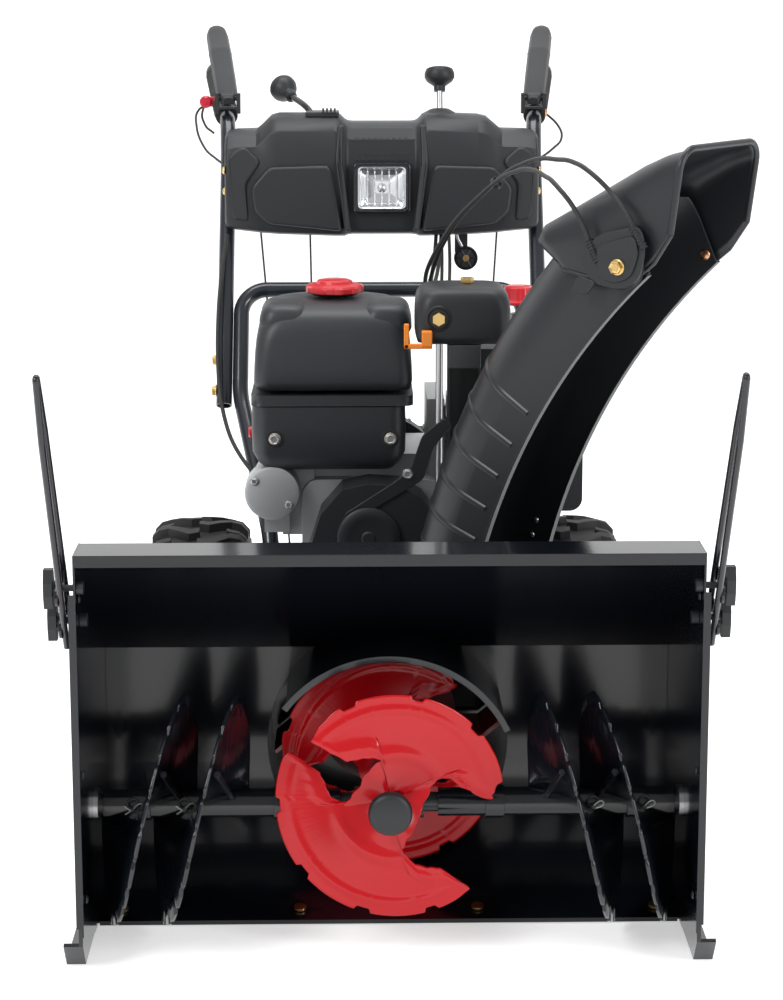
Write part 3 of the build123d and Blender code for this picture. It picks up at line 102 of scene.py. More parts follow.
GLOSS = material("gloss_black", (0.006, 0.0075, 0.011), 0.2, specular=0.45, coat=0.25, bump=0.04, scale=260)
INSIDE = material("housing_black", (0.004, 0.005, 0.008), 0.16, specular=0.4, coat=0.2, bump=0.05, scale=200)
FRAME = material("frame_black", (0.012, 0.013, 0.015), 0.42, bump=0.06, scale=500)
TUBE = material("tube_black", (0.010, 0.013, 0.019), 0.24, coat=0.3)
RED = material("red_paint", (0.44, 0.002, 0.006), 0.2, specular=0.3, coat=0.18, bump=0.03, scale=240)
# darker copy of the red paint: painted shade for the red parts set back in the drum (rear hub, impeller) and the wheel
# rims
RED_SHADED = material("red_paint_shaded", (0.20, 0.004, 0.008), 0.3, coat=0.3)
RED_PLASTIC = material("red_plastic", (0.55, 0.012, 0.02), 0.32, coat=0.2)
PLASTIC = material("moulded_black", (0.013, 0.0145, 0.017), 0.46, specular=0.45, bump=0.22, scale=1500)
CHUTE = material("chute_black", (0.0125, 0.014, 0.017), 0.36, specular=0.5, bump=0.1, scale=1300)
GREY = material("moulded_grey", (0.020, 0.022, 0.026), 0.44, specular=0.5, bump=0.22, scale=1500)
RUBBER = material("rubber", (0.010, 0.0105, 0.011), 0.55, bump=0.15, scale=1200)
TYRE = material("tyre_rubber", (0.012, 0.012, 0.0125), 0.62, bump=0.2, scale=900)
STEEL = material("steel", (0.50, 0.50, 0.51), 0.28, metal=1.0)
DARK_STEEL = material("dark_steel", (0.05, 0.052, 0.056), 0.35, metal=0.6)
ZINC = material("yellow_zinc", (0.72, 0.50, 0.20), 0.3, metal=1.0)
COPPER = material("copper", (0.62, 0.30, 0.17), 0.3, metal=1.0)
CAST = material("cast_aluminium", (0.48, 0.49, 0.50), 0.46, metal=0.75, bump=0.5, scale=700)
IRON = material("gear_iron", (0.02, 0.021, 0.023), 0.36, bump=0.2, scale=500)
ORANGE = material("orange_plastic", (0.85, 0.24, 0.01), 0.38)
MIRROR = material("reflector", (0.9, 0.91, 0.92), 0.1, metal=1.0)
LENS = material("clear_lens", (0.95, 0.97, 1.0), 0.02, transmission=1.0, bevel=0.0)
LENS.node_tree.nodes["Principled BSDF"].inputs["Alpha"].default_value = 0.35
SIGNAL = material("red_lens", (0.7, 0.02, 0.05), 0.15, transmission=0.4, bevel=0.0)

for node, finish in {
    "auger_housing": INSIDE, "side_plates": INSIDE, "tunnel_shroud": GLOSS, "scraper_bar": FRAME,
    "skid_shoes": GLOSS, "drift_cutters": GLOSS, "shaft_bearings": STEEL, "auger_gearbox": IRON,
    "drive_belts": RUBBER, "tractor_frame": FRAME, "belt_cover": PLASTIC, "engine_block": CAST,
    "engine_cover": GREY, "fuel_tank": GREY, "electric_starter": CAST, "muffler_guard": FRAME,
    "recoil_housing": PLASTIC, "chute_head": PLASTIC, "control_brackets": FRAME, "handle_tubes": TUBE,
    "grips": RUBBER, "dash_panel": PLASTIC, "headlight": LENS, "fasteners": ZINC, "control_wires": RUBBER,
    "drive_shaft": STEEL, "pitch_cables": RUBBER, "auger_shaft": DARK_STEEL, "augers_left": GLOSS,
    "augers_right": GLOSS, "shear_pins": DARK_STEEL, "impeller_shaft": STEEL, "accelerator_front": RED,
    "accelerator_rear": RED_SHADED, "impeller": RED_SHADED, "impeller_pulley": STEEL, "crank_pulley": STEEL,
    "friction_disc": STEEL, "friction_wheel": RUBBER, "axle_left": STEEL, "axle_right": STEEL,
    "rim_left": RED_SHADED, "rim_right": RED_SHADED, "tyre_left": TYRE, "tyre_right": TYRE, "chute": CHUTE,
    "pitch_bracket": PLASTIC, "deflector": CHUTE, "chute_pinion": STEEL, "knob_left_upper": PLASTIC,
    "knob_left_lower": PLASTIC, "knob_right_upper": PLASTIC, "knob_right_lower": PLASTIC,
    "fuel_cap": RED_PLASTIC, "oil_cap": RED_PLASTIC, "shift_lever": PLASTIC, "joystick": PLASTIC,
    "auger_lever": PLASTIC, "drive_lever": PLASTIC, "recoil_handle": PLASTIC,
}.items():
    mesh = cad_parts[node].data
    mesh.materials.clear()
    mesh.materials.append(finish)


# ---------------------------------------------------------------- mesh helpers
def piece(name, points, faces, finish, body="machine", sharp=35.0, thick=0.0, bevel=0.0, smooth=0, offset=0.0,
          stands_for=(), scale=True):
    """Mesh from machine-millimetre points, riding on a body."""
    mesh = bpy.data.meshes.new(name)
    mesh.from_pydata([tuple(at(*p)) if scale else tuple(p) for p in points], [], faces)
    work = bmesh.new()
    work.from_mesh(mesh)
    bmesh.ops.remove_doubles(work, verts=work.verts, dist=1e-6)
    bmesh.ops.recalc_face_normals(work, faces=work.faces)
    for face in work.faces:
        face.smooth = True
    for edge in work.edges:
        edge.smooth = not (len(edge.link_faces) == 2 and edge.calc_face_angle(0) > math.radians(sharp))
    work.to_mesh(mesh)
    work.free()
    mesh.materials.append(finish)
    made = bpy.data.objects.new(name, mesh)
    bpy.context.scene.collection.objects.link(made)
    if thick:
        shell = made.modifiers.new("thickness", "SOLIDIFY")
        shell.thickness = thick / 1000
        shell.offset = offset
    if bevel:
        edge = made.modifiers.new("edges", "BEVEL")
        edge.width = bevel / 1000
        edge.segments = 3
        edge.limit_method = "ANGLE"
        edge.angle_limit = math.radians(32)
        edge.harden_normals = False
    if smooth:
        finer = made.modifiers.new("smooth", "SUBSURF")
        finer.levels = finer.render_levels = smooth
    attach(made, body)
    if stands_for:
        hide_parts(*stands_for)
    return made


def box(name, low, high, finish, body="machine", bevel=1.5, **more):
    (a, b, c), (d, e, f) = low, high
    points = [(a, b, c), (d, b, c), (d, e, c), (a, e, c), (a, b, f), (d, b, f), (d, e, f), (a, e, f)]
    faces = [(0, 3, 2, 1), (4, 5, 6, 7), (0, 1, 5, 4), (1, 2, 6, 5), (2, 3, 7, 6), (3, 0, 4, 7)]
    return piece(name, points, faces, finish, body, bevel=bevel, **more)


def frame_of(direction, hint=(0, 0, 1)):
    run = Vector(direction).normalized()
    side = run.cross(Vector(hint))
    if side.length < 1e-4:
        side = run.cross(Vector((1, 0, 0)))
    side.normalize()
    return run, side, side.cross(run).normalized()


def lathe(name, origin, direction, profile, finish, body="machine", steps=48, wave=None, **more):
    """Profile of (distance along, radius) turned round an axis; wave(angle) scales the radius."""
    run, side, up = frame_of(direction)
    points, faces = [], []
    for k in range(steps):
        angle = 2 * PI * k / steps
        swell = wave(angle) if wave else 1.0
        for along, radius in profile:
            points.append(Vector(origin) + run * along
                          + (side * COS(angle) + up * SIN(angle)) * radius * swell)
    n = len(profile)
    for k in range(steps):
        other = (k + 1) % steps
        for j in range(n - 1):
            faces.append((k * n + j, k * n + j + 1, other * n + j + 1, other * n + j))
    return piece(name, points, faces, finish, body, **more)


def loft(name, rings, finish, body="machine", closed=True, caps=True, **more):
    """Skin through rings of equal point count."""
    n = len(rings[0])
    points = [tuple(p) for ring in rings for p in ring]
    faces = []
    for k in range(len(rings) - 1):
        for j in range(n if closed else n - 1):
            m = (j + 1) % n
            faces.append((k * n + j, k * n + m, (k + 1) * n + m, (k + 1) * n + j))
    if caps:
        faces.append(tuple(range(n))[::-1])
        faces.append(tuple((len(rings) - 1) * n + j for j in range(n)))
    return piece(name, points, faces, finish, body, **more)


def plate(name, outline, to_space, low, high, finish, body="machine", bevel=0.8, **more):
    """Flat outline given thickness: to_space(u, v, w) with w from low to high."""
    return loft(name, [[to_space(u, v, w) for u, v in outline] for w in (low, high)], finish, body,
                bevel=bevel, **more)


def tube(name, route, radius, finish, body="machine", smooth=True, ride=True):
    """Round tube through machine-millimetre points."""
    line = bpy.data.curves.new(name, "CURVE")
    line.dimensions = "3D"
    line.bevel_depth = radius / 1000
    line.bevel_resolution = 5
    line.use_fill_caps = True
    line.resolution_u = 8
    spline = line.splines.new("BEZIER" if smooth else "POLY")
    if smooth:
        spline.bezier_points.add(len(route) - 1)
        for knot, spot in zip(spline.bezier_points, route):
            knot.co = at(*spot)
            knot.handle_left_type = knot.handle_right_type = "AUTO"
    else:
        spline.points.add(len(route) - 1)
        for knot, spot in zip(spline.points, route):
            knot.co = (*at(*spot), 1)
    line.materials.append(finish)
    made = bpy.data.objects.new(name, line)
    bpy.context.scene.collection.objects.link(made)
    if ride:
        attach(made, body)
    return made


def bolt(name, seat, direction, across=13.0, head=6.0, finish=ZINC, body="machine"):
    """Flanged hexagon bolt head."""
    r = across / 2
    lathe(f"{name}_washer", seat, direction, [(0, 0.01), (0, r * 1.35), (1.4, r * 1.3), (2, r), (2, 0.01)],
          finish, body, steps=28)
    return lathe(f"{name}_head", seat, direction,
                 [(1.5, 0.01), (1.5, r * 1.12), (head - 1, r * 1.12), (head, r * 0.9), (head - 1.2, r * 0.7),
                  (head - 1.2, 0.01)], finish, body, steps=6, sharp=20)


def dome(name, seat, direction, radius=9.0, height=4.0, finish=ZINC, body="machine"):
    profile = [(height * COS(PI / 2 * k / 8), max(0.01, radius * SIN(PI / 2 * k / 8))) for k in range(9)]
    return lathe(name, seat, direction, profile, finish, body, steps=28)


def rounded(points, radius, steps=5):
    """Closed outline with its corners rounded."""
    out = []
    n = len(points)
    for i in range(n):
        p = Vector(points[i])
        a = (Vector(points[i - 1]) - p)
        b = (Vector(points[(i + 1) % n]) - p)
        r = min(radius, a.length * 0.45, b.length * 0.45)
        a, b = p + a.normalized() * r, p + b.normalized() * r
        for k in range(steps + 1):
            t = k / steps
            out.append(tuple(a * (1 - t) ** 2 + p * 2 * t * (1 - t) + b * t * t))
    return out


# ---------------------------------------------------------------- augers
def flight(name, side, first, start, turn, run, inner, outer, finish, body):
    """Serrated helical flight, dished towards its inner edge."""
    steps, rows = 150, 7
    points, faces = [], []
    for k in range(steps + 1):
        share = k / steps
        angle = math.radians(start + turn * share * 1.0)
        tooth = (share * 13.0) % 1.0
        rim = outer - (7.0 if tooth < 0.24 else 0.0)
        taper = min(1.0, share / 0.09, (1 - share) / 0.09)
        rim = inner + (rim - inner) * (0.42 + 0.58 * math.sqrt(taper))
        for j in range(rows + 1):
            r = inner + (rim - inner) * j / rows
            dish = 14.0 * (1 - (j / rows) ** 1.6) * math.sin(PI * min(1.0, max(0.0, share * 1.06))) ** 0.5
            x = side * (first + run * share + dish)
            points.append((x, 144 + r * COS(angle), 168 + r * SIN(angle)))
    for k in range(steps):
        for j in range(rows):
            a = k * (rows + 1) + j
            faces.append((a, a + 1, a + rows + 2, a + rows + 1))
    return piece(name, points, faces, finish, body, thick=4.2, sharp=50)


for side, word in ((-1, "left"), (1, "right")):
    first = lathe(f"auger_tube_{word}", (side * 62, 144, 168), (side, 0, 0),
                  [(0, 12.7), (0, 18), (1, 18), (60, 18), (60, 21), (84, 21), (84, 18), (240, 18), (240, 21),
                   (262, 21), (262, 18), (300, 18), (300, 12.7)], GLOSS, "auger", steps=40, sharp=25)
    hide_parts(f"augers_{word}")
    for offset in (0, 66):
        flight(f"auger_flight_{word}_{offset}", side, 178 + offset, 76, 205, 121, 17, 151.5, GLOSS, "auger")
        for share in (0.3, 0.72):
            angle = math.radians(76 + 205 * share)
            foot = Vector((side * (178 + offset + 121 * share), 144, 168))
            out = Vector((0, COS(angle), SIN(angle)))
            tube(f"flight_strut_{word}_{offset}_{share}", [foot + out * 16 - Vector((side * 16, 0, 0)),
                 foot + out * 62 - Vector((side * 6, 0, 0)), foot + out * 92], 4.5, GLOSS, "auger")
    for x in (258, 323):
        centre = Vector((side * x, 144, 168))
        clip = [centre + Vector((dx, -26, dz)) for dx, dz in
                ((-10, -5), (-4, -1), (0, 2), (5, 7), (10, 9), (13, 6), (10, 2), (5, 0), (0, -1), (-6, 2), (-11, 6))]
        tube(f"cotter_{word}_{x}", clip, 0.9, STEEL, "auger")

# ---------------------------------------------------------------- accelerators and impeller
def along(profile, angle):
    """Value at an angle from (angle, value) pairs in rising order."""
    for (a0, v0), (a1, v1) in zip(profile, profile[1:]):
        if angle <= a1:
            share = min(1.0, max(0.0, (angle - a0) / (a1 - a0)))
            return v0 + (v1 - v0) * share * share * (3 - 2 * share)
    return profile[-1][1]


def sheet(name, inner, outer, depth, finish, aim=0, rib=4.0):
    """Pressed plate round the impeller shaft, between two radii given by angle, with a bead along its inner edge.
    Angles run anticlockwise from the right, seen from the front, and aim turns the whole plate."""
    low, high = inner[0][0], inner[-1][0]
    steps, rows = int((high - low) / 1.25), 44
    points, faces = [], []
    for k in range(steps + 1):
        angle = low + (high - low) * k / steps
        near, far = along(inner, angle), along(outer, angle)
        bead = max(near, 52.0) + 15
        tooth = ((angle % 360) / 36.0) % 1.0
        if far > 130 and tooth < 0.2:
            far -= 5.5
        fade = math.sin(PI * k / steps) ** 0.4 if 0 < k < steps else 0.0
        for row in range(rows + 1):
            r = near + (far - near) * row / rows
            raised = rib * math.exp(-((r - bead) / 8) ** 2) + 0.6 * rib * math.exp(-((r - 124) / 4) ** 2)
            a = math.radians(angle + aim)
            points.append((r * COS(a), along(depth, angle) - raised * fade, 195 + r * SIN(a)))
    for k in range(steps):
        for row in range(rows):
            a = k * (rows + 1) + row
            faces.append((a, a + 1, a + rows + 2, a + rows + 1))
    return piece(name, points, faces, finish, "impeller_train", thick=4.0, sharp=40)


# each plate is two hooked lobes, with a deep bay between them that leaves a neck round the hub
LOBE_A = [(-2, 122), (0, 110), (3, 103), (10, 87), (18, 81), (23, 70), (26, 17), (98, 17), (101, 62), (110, 68),
        (120, 74),
          (130, 81), (134, 100), (137, 128)]
LOBE_B = [(155, 132), (157, 113), (160, 92), (168, 82), (177, 75), (183, 64), (188, 17), (282, 17), (286, 62), (294,
        80),
          (303, 90), (309, 97), (312, 116), (314, 138)]
RIM_A = [(-2, 128), (3, 137), (9, 142.5), (117, 142.5), (128, 138), (137, 132)]
RIM_B = [(155, 138), (159, 142.5), (304, 142.5), (314, 141)]
NECK_A = [(97, 62), (101, 60), (125, 50), (151, 42), (176, 48), (190, 60)]
NECK_B = [(281, 62), (286, 56), (296, 46), (323, 41), (350, 41), (375, 52), (386, 68)]


def accelerator(word, front, rear, finish, aim=0):
    """Both lobes and both necks of one plate; each lobe runs from rear to front as its angle grows."""
    def level(angle, low, high):
        return rear + (front - rear) * (angle - low) / (high - low)
    sheet(f"{word}_lobe_a", LOBE_A, RIM_A, [(a, level(a, -2, 137)) for a in range(-2, 139, 3)], finish, aim)
    sheet(f"{word}_lobe_b", LOBE_B, RIM_B, [(a, level(a, 155, 314)) for a in range(155, 317, 3)], finish, aim)
    for mark, neck, start, end in (("a", NECK_A, level(97, -2, 137), level(190, 155, 314)),
                                   ("b", NECK_B, level(281, 155, 314), level(26, -2, 137))):
        low, high = neck[0][0], neck[-1][0]
        sheet(f"{word}_neck_{mark}", [(low, 17), (high, 17)], neck, [(low, start), (high, end)], finish, aim, rib=0.0)


hub = lathe("accelerator_hub", (0, 20, 195), (0, 1, 0),
            [(0, 0.01), (0, 20), (2, 25), (5, 27), (13, 27), (14, 19), (14, 17), (76, 17), (76, 9.6)],
            PLASTIC, "impeller_train", steps=48)
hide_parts("accelerator_front")
accelerator("accelerator", 40, 92, RED)
# rear hub in the darker red copy, which is painted shade
rear_hub = lathe("rear_hub", (0, 204, 195), (0, 1, 0), [(0, 9.6), (0, 17), (60, 17), (60, 9.6)], RED_SHADED,
                 "impeller_train", steps=32)
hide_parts("accelerator_rear")
accelerator("rear", 210, 260, RED, aim=47)

# ---------------------------------------------------------------- tyres
def tyre(word, side):
    middle = side * 272.5

    def ground(across):
        return 190.0 - 10.0 * (abs(across) / 66.0) ** 2.6

    profile = [(-58, 101.2), (-64, 116), (-75.5, 150), (-72, 168)]
    profile += [(a, ground(a)) for a in (-64, -56, -46, -34, -20, -8, 8, 20, 34, 46, 56, 64)]
    profile += [(72, 168), (75.5, 150), (64, 116), (58, 101.2)]
    made = lathe(f"tyre_body_{word}", (middle, 700, 203), (1, 0, 0), profile, TYRE, f"wheel_{word}",
                 steps=96, sharp=60)
    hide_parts(f"tyre_{word}")
    points, faces = [], []

    def lug(path, width, height):
        """Bar over the crown through (across, degrees) points."""
        rings = []
        for across, angle in path:
            for d, h in ((-width, -7.0), (-width * 0.72, height), (width * 0.72, height), (width, -7.0)):
                base = ground(min(66, abs(across)))
                if abs(across) > 66:
                    base -= (abs(across) - 66) * 2.1
                radius = min(202.6, base + h)
                a = math.radians(angle) + d / 190.0
                rings.append((middle + across, 700 + radius * COS(a), 203 + radius * SIN(a)))
        start = len(points)
        points.extend(rings)
        n = len(path)
        for k in range(n - 1):
            for j in range(3):
                i = start + k * 4 + j
                faces.append((i, i + 1, i + 5, i + 4))
        faces.append(tuple(start + j for j in range(4)))
        faces.append(tuple(start + (n - 1) * 4 + j for j in range(4))[::-1])

    pitch = 360 / 20
    for k in range(20):
        base = k * pitch
        lug([(-1, base + 3), (14, base + 4.5), (30, base + 1), (46, base - 3), (60, base - 3.5), (70, base - 3.5)],
            9.5, 12.0)
        lug([(1, base + pitch / 2 + 3), (-14, base + pitch / 2 + 4.5), (-30, base + pitch / 2 + 1),
             (-46, base + pitch / 2 - 3), (-60, base + pitch / 2 - 3.5), (-70, base + pitch / 2 - 3.5)], 9.5, 12.0)
        lug([(40, base + 8), (58, base + 8), (69, base + 8)], 6.5, 8.5)
        lug([(-40, base + pitch / 2 + 8), (-58, base + pitch / 2 + 8), (-69, base + pitch / 2 + 8)], 6.5, 8.5)
    piece(f"tyre_lugs_{word}", points, faces, TYRE, f"wheel_{word}", sharp=25)
    lathe(f"valve_{word}", (side * 300, 700, 203 + 78), (side, 0, 0), [(0, 5), (6, 5), (7, 3), (22, 3), (22, 0.01)],
          RUBBER, f"wheel_{word}", steps=16)
    for turn in range(5):
        a = 2 * PI * turn / 5 + 0.3
        bolt(f"wheel_bolt_{word}_{turn}", (side * (272.5 + 21.5), 700 + 30 * COS(a), 203 + 30 * SIN(a)), (side, 0, 0),
             9, 5, STEEL, f"wheel_{word}")


tyre("left", -1)
tyre("right", 1)

# ---------------------------------------------------------------- chute and deflector
AIM = math.radians(38)
aim = Vector((COS(AIM), -SIN(AIM), 0))
side_on = Vector((-SIN(AIM), -COS(AIM), 0))


def place(along, up, over=0.0):
    return Vector((109.0, 349.4, up)) + aim * along + side_on * over


def chute_middle(angle):
    a = math.radians(angle)
    return 914.8 - 925 * COS(a), 207.7 + 925 * SIN(a), a


def chute_section(angle, radius, depth, lip=0.0):
    """Outer U of the chute at a sweep angle, from the far free edge round the back to the near one."""
    along, up, a = chute_middle(angle)
    out_dir = aim * COS(a) - Vector((0, 0, 1)) * SIN(a)
    middle = place(along, up)
    ring = []
    for over, out in [(-radius - lip, depth), (-radius, depth), (-radius, 0)]:
        ring.append(middle + side_on * over + out_dir * out)
    for k in range(1, 24):
        b = PI * k / 24
        ring.append(middle - side_on * radius * COS(b) - out_dir * radius * SIN(b))
    for over, out in [(radius, 0), (radius, depth), (radius + lip, depth)]:
        ring.append(middle + side_on * over + out_dir * out)
    return ring


for number, angle in enumerate((15.0, 17.9, 20.9, 24.0, 27.1, 30.3)):
    reach = []
    for step in range(5):
        a = angle + step * 0.13
        swell = (0.2, 1.5, 1.9, 1.5, 0.2)[step]
        reach.append(chute_section(a, 82.0 + swell, 34)[1:-1])
    loft(f"chute_band_{number}", reach, CHUTE, "chute_body", closed=False, caps=False, sharp=60)
for angle in (16.2, 17.6):
    along, up, a = chute_middle(angle)
    spot = place(along, up, -79) + (aim * COS(a) - Vector((0, 0, 1)) * SIN(a)) * 24
    dome(f"chute_rivet_{angle}", spot, side_on, 4, 2.5, STEEL, "chute_body")
dome("chute_rivet", place(306, 858, -79), side_on, 7, 3, COPPER, "chute_body")


def hood_ring(share):
    """Deflector section from the near free edge over the roof to the far free edge."""
    roof = ((0.0, 154, 884), (0.10, 162, 900), (0.3, 205, 926), (0.5, 252, 953), (0.7, 300, 979),
            (0.85, 336, 994), (1.0, 372, 1003))
    foot = ((0.0, 196, 852), (0.10, 205, 848), (0.3, 243, 842), (0.5, 276, 838), (0.7, 305, 842),
            (0.85, 334, 866), (1.0, 358, 902))
    width = ((0.0, 84), (0.10, 89), (0.3, 91.5), (0.5, 92), (0.7, 92), (0.85, 92), (1.0, 93))
    swell = ((0.0, 20), (0.10, 30), (0.3, 44), (0.5, 46), (0.7, 40), (0.85, 32), (1.0, 26))

    def read(table, column):
        for low, high in zip(table, table[1:]):
            if share <= high[0]:
                t = (share - low[0]) / (high[0] - low[0])
                return low[column] + (high[column] - low[column]) * t
        return table[-1][column]

    r = Vector((read(roof, 1), read(roof, 2)))
    f = Vector((read(foot, 1), read(foot, 2)))
    w, corner = read(width, 1), read(swell, 1)
    down = f - r
    length = down.length
    down.normalize()
    ring = []
    for k in range(9):
        d = length - (length - corner) * k / 8
        p = r + down * d
        ring.append(place(p.x, p.y, w))
    for k in range(1, 10):
        b = PI / 2 * k / 9
        p = r + down * corner * (1 - SIN(b))
        ring.append(place(p.x, p.y, w - corner * (1 - COS(b))))
    for k in range(1, 8):
        ring.append(place(r.x, r.y, (w - corner) * (1 - k / 4)))
    for k in range(0, 9):
        b = PI / 2 * (1 - k / 9)
        p = r + down * corner * (1 - SIN(b))
        ring.append(place(p.x, p.y, -(w - corner * (1 - COS(b)))))
    for k in range(9):
        d = corner + (length - corner) * k / 8
        p = r + down * d
        ring.append(place(p.x, p.y, -w))
    return ring


hood = loft("deflector_hood", [hood_ring(k / 30) for k in range(31)], CHUTE, "deflector_body", closed=False,
            caps=False, thick=3.2, offset=-1.0, sharp=50)
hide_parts("deflector")
mouth = hood_ring(1.0)
tube("deflector_lip", [p - aim * 2 for p in mouth], 4.2, CHUTE, "deflector_body", smooth=False)
near_edge = [hood_ring(k / 20)[0] for k in range(0, 21)]
far_edge = [hood_ring(k / 20)[-1] for k in range(0, 21)]
tube("deflector_near_edge", near_edge, 2.4, CHUTE, "deflector_body", smooth=False)
tube("deflector_far_edge", far_edge, 2.4, CHUTE, "deflector_body", smooth=False)
lathe("deflector_pulley", place(293, 860, 92), side_on,
      [(0, 5.2), (0, 27), (2.5, 29), (3.6, 27), (4.6, 24), (5.6, 27), (7, 29), (9.5, 27), (9.5, 22), (8, 20), (8, 9),
       (10, 8), (10, 5.2)], PLASTIC, "deflector_body", steps=48,
      wave=lambda a: 1.0 + (0.012 if SIN(14 * a) > 0 else 0.0))
outline = rounded([(236, 868), (262, 897), (322, 912), (330, 884), (322, 846), (296, 832), (262, 836), (244, 850)], 14)
bracket = plate("pitch_plate", outline, lambda u, v, w: place(u, v, w), 103, 106, PLASTIC, "chute_body")
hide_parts("pitch_bracket")
rim = rounded([(262, 884), (316, 900), (322, 880), (312, 850), (292, 840), (266, 844)], 12)
plate("pitch_plate_boss", rim, lambda u, v, w: place(u, v, w), 105.9, 109, PLASTIC, "chute_body")
bolt("pitch_bolt", place(293, 860, 108.8), side_on, 15, 8, ZINC, "chute_body")
for name, end, before in (("far", place(314, 905, 104), Vector((282, 84, 926))),
                          ("near", place(252, 885, 104), Vector((235, 120, 906)))):
    run = (end - before).normalized()
    lathe(f"cable_end_{name}", end - run * 4, run,
          [(d, 4.6 if d % 4 else 5.9) for d in range(0, 29)] + [(29, 0.01)], PLASTIC, "chute_body", steps=24)
plate("clip_arm", rounded([(236, 846), (226, 824), (248, 822), (262, 840)], 6), lambda u, v, w: place(u, v, w),
      103, 107, PLASTIC, "chute_body")

# ---------------------------------------------------------------- fuel tank and engine cover
def super_ring(x0, x1, y0, y1, z, corner):
    """Rounded rectangle at height z."""
    corners = [(x0, y0), (x1, y0), (x1, y1), (x0, y1)]
    ring = []
    for i, (x, y) in enumerate(corners):
        cx = x + (corner if x == x0 else -corner)
        cy = y + (corner if y == y0 else -corner)
        for k in range(7):
            a = PI + PI / 2 * i + PI / 2 * k / 6
            ring.append((cx + corner * COS(a), cy + corner * SIN(a), z))
    return ring


tank = loft("fuel_tank_shell", [
    super_ring(-183, 38, 507, 728, 627, 18), super_ring(-184, 39, 506, 729, 640, 20),
    super_ring(-182, 37, 508, 727, 690, 24), super_ring(-178, 33, 512, 723, 720, 30),
    super_ring(-170, 25, 520, 715, 736, 36), super_ring(-156, 11, 534, 701, 747, 40),
    super_ring(-128, -17, 562, 673, 752, 42)], GREY, sharp=60, smooth=1)
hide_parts("fuel_tank")
loft("tank_seam", [super_ring(-187, 39, 502, 733, z, c) for z, c in
                   ((613.5, 14), (615, 18), (626, 18), (628, 14))], GREY, sharp=60)
for number, x in enumerate((-140, 2)):
    loft(f"tank_hump_{number}", [super_ring(x - w, x + w, 516 + d, 640 - d, z, c) for w, d, z, c in
         ((38, 0, 700, 20), (36, 3, 735, 22), (30, 9, 748, 22), (20, 20, 753, 16))], GREY, sharp=60, smooth=1)
loft("engine_cover_shell", [
    super_ring(-168, 10, 522, 712, 520, 14), super_ring(-178, 20, 512, 722, 530, 20),
    super_ring(-186, 28, 505, 728, 545, 24), super_ring(-187, 29, 504, 729, 580, 24),
    super_ring(-186, 28, 505, 728, 612, 22)], GREY, sharp=60, stands_for=("engine_cover",))
lathe("cap_skirt", (-71, 620, 754), (0, 0, 1), [(0, 30), (3, 34), (3.5, 0.01)], GREY, steps=40)
cap = lathe("fuel_cap_grip", (-71, 620, 757.5), (0, 0, 1),
            [(0, 0.01), (0, 38), (1.5, 40.5), (8, 40.5), (11, 38), (12.5, 32), (13, 26), (17, 24), (18.4, 20),
             (18.4, 0.01)],
            RED_PLASTIC, "fuel_cap_body", steps=120,
            wave=lambda a: 1.0 + 0.045 * (1 if SIN(9 * a) > 0 else -1) * 0.6)
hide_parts("fuel_cap")
oil = lathe("oil_cap_grip", (198, 700, 728.5), (0, 0, 1),
            [(0, 0.01), (0, 25), (2, 29), (5, 29), (7, 24), (18, 22), (25, 21), (26.5, 18), (26.5, 0.01)], RED_PLASTIC,
            "oil_cap_body", steps=64, wave=lambda a: 1.0 + 0.02 * SIN(12 * a))
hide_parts("oil_cap")
lathe("oil_neck_ring", (198, 700, 700), (0, 0, 1), [(0, 12), (1, 14), (13, 14), (14, 12)], STEEL, steps=32)
lathe("starter_face", (-159, 521, 486), (0, -1, 0), [(-2, 39), (2.5, 38), (4, 34), (4, 0.01)], CAST, steps=48)
for dx, dz in ((-24, 18), (24, -16)):
    bolt(f"starter_screw_{dx}", (-159 + dx, 517, 486 + dz), (0, -1, 0), 9, 4, STEEL)
lathe("choke_button", (-186, 560, 566), (-1, 0, 0), [(0, 8), (5, 8), (7, 6), (7, 0.01)], RED_PLASTIC, steps=24)
for number, (x, z) in enumerate(((-154, 567), (7, 567))):
    lathe(f"cover_recess_{number}", (x, 504.4, z), (0, -1, 0), [(0, 13), (0.6, 12.5), (0.6, 0.01)], FRAME, steps=32)
    bolt(f"cover_bolt_{number}", (x, 504, z), (0, -1, 0), 13, 7, STEEL)
lathe("pulley_cap", (-24, 449, 438), (0, -1, 0), [(0, 43), (2, 40), (3, 30), (2, 26), (2, 10), (4, 8), (4, 0.01)],
        PLASTIC)

# ---------------------------------------------------------------- muffler guard louvres and recoil
for row in range(7):
    for column in range(3):
        box(f"guard_louvre_{row}_{column}", (118 + column * 52, 521.5, 530 + row * 21), (158 + column * 52, 524.5,
                536 + row * 21),
            FRAME, bevel=1.2)
for row in range(7):
    box(f"guard_side_louvre_{row}", (277, 548, 500 + row * 24), (280, 640, 508 + row * 24), FRAME, bevel=1.2)
for k in range(24):
    a = 2 * PI * k / 24
    foot = Vector((-20 + 118 * COS(a), 760, 438 + 118 * SIN(a)))
    lathe(f"recoil_vent_{k}", foot, (0, 1, 0), [(0, 3.2), (18, 3.2), (19, 0.01)], FRAME, steps=10)
grip = lathe("recoil_grip", (40, 816, 514), (1, 0, 0), [(0, 0.01), (0, 8), (3, 11), (28, 9.5), (36, 12.5), (44,
        9.5), (69, 11),
             (72, 8), (72, 0.01)], PLASTIC, "recoil_handle_body", steps=32)
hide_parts("recoil_handle")
tube("recoil_rope", [(76, 780, 514), (76, 812, 514)], 2.4, RUBBER, "recoil_handle_body", smooth=False)

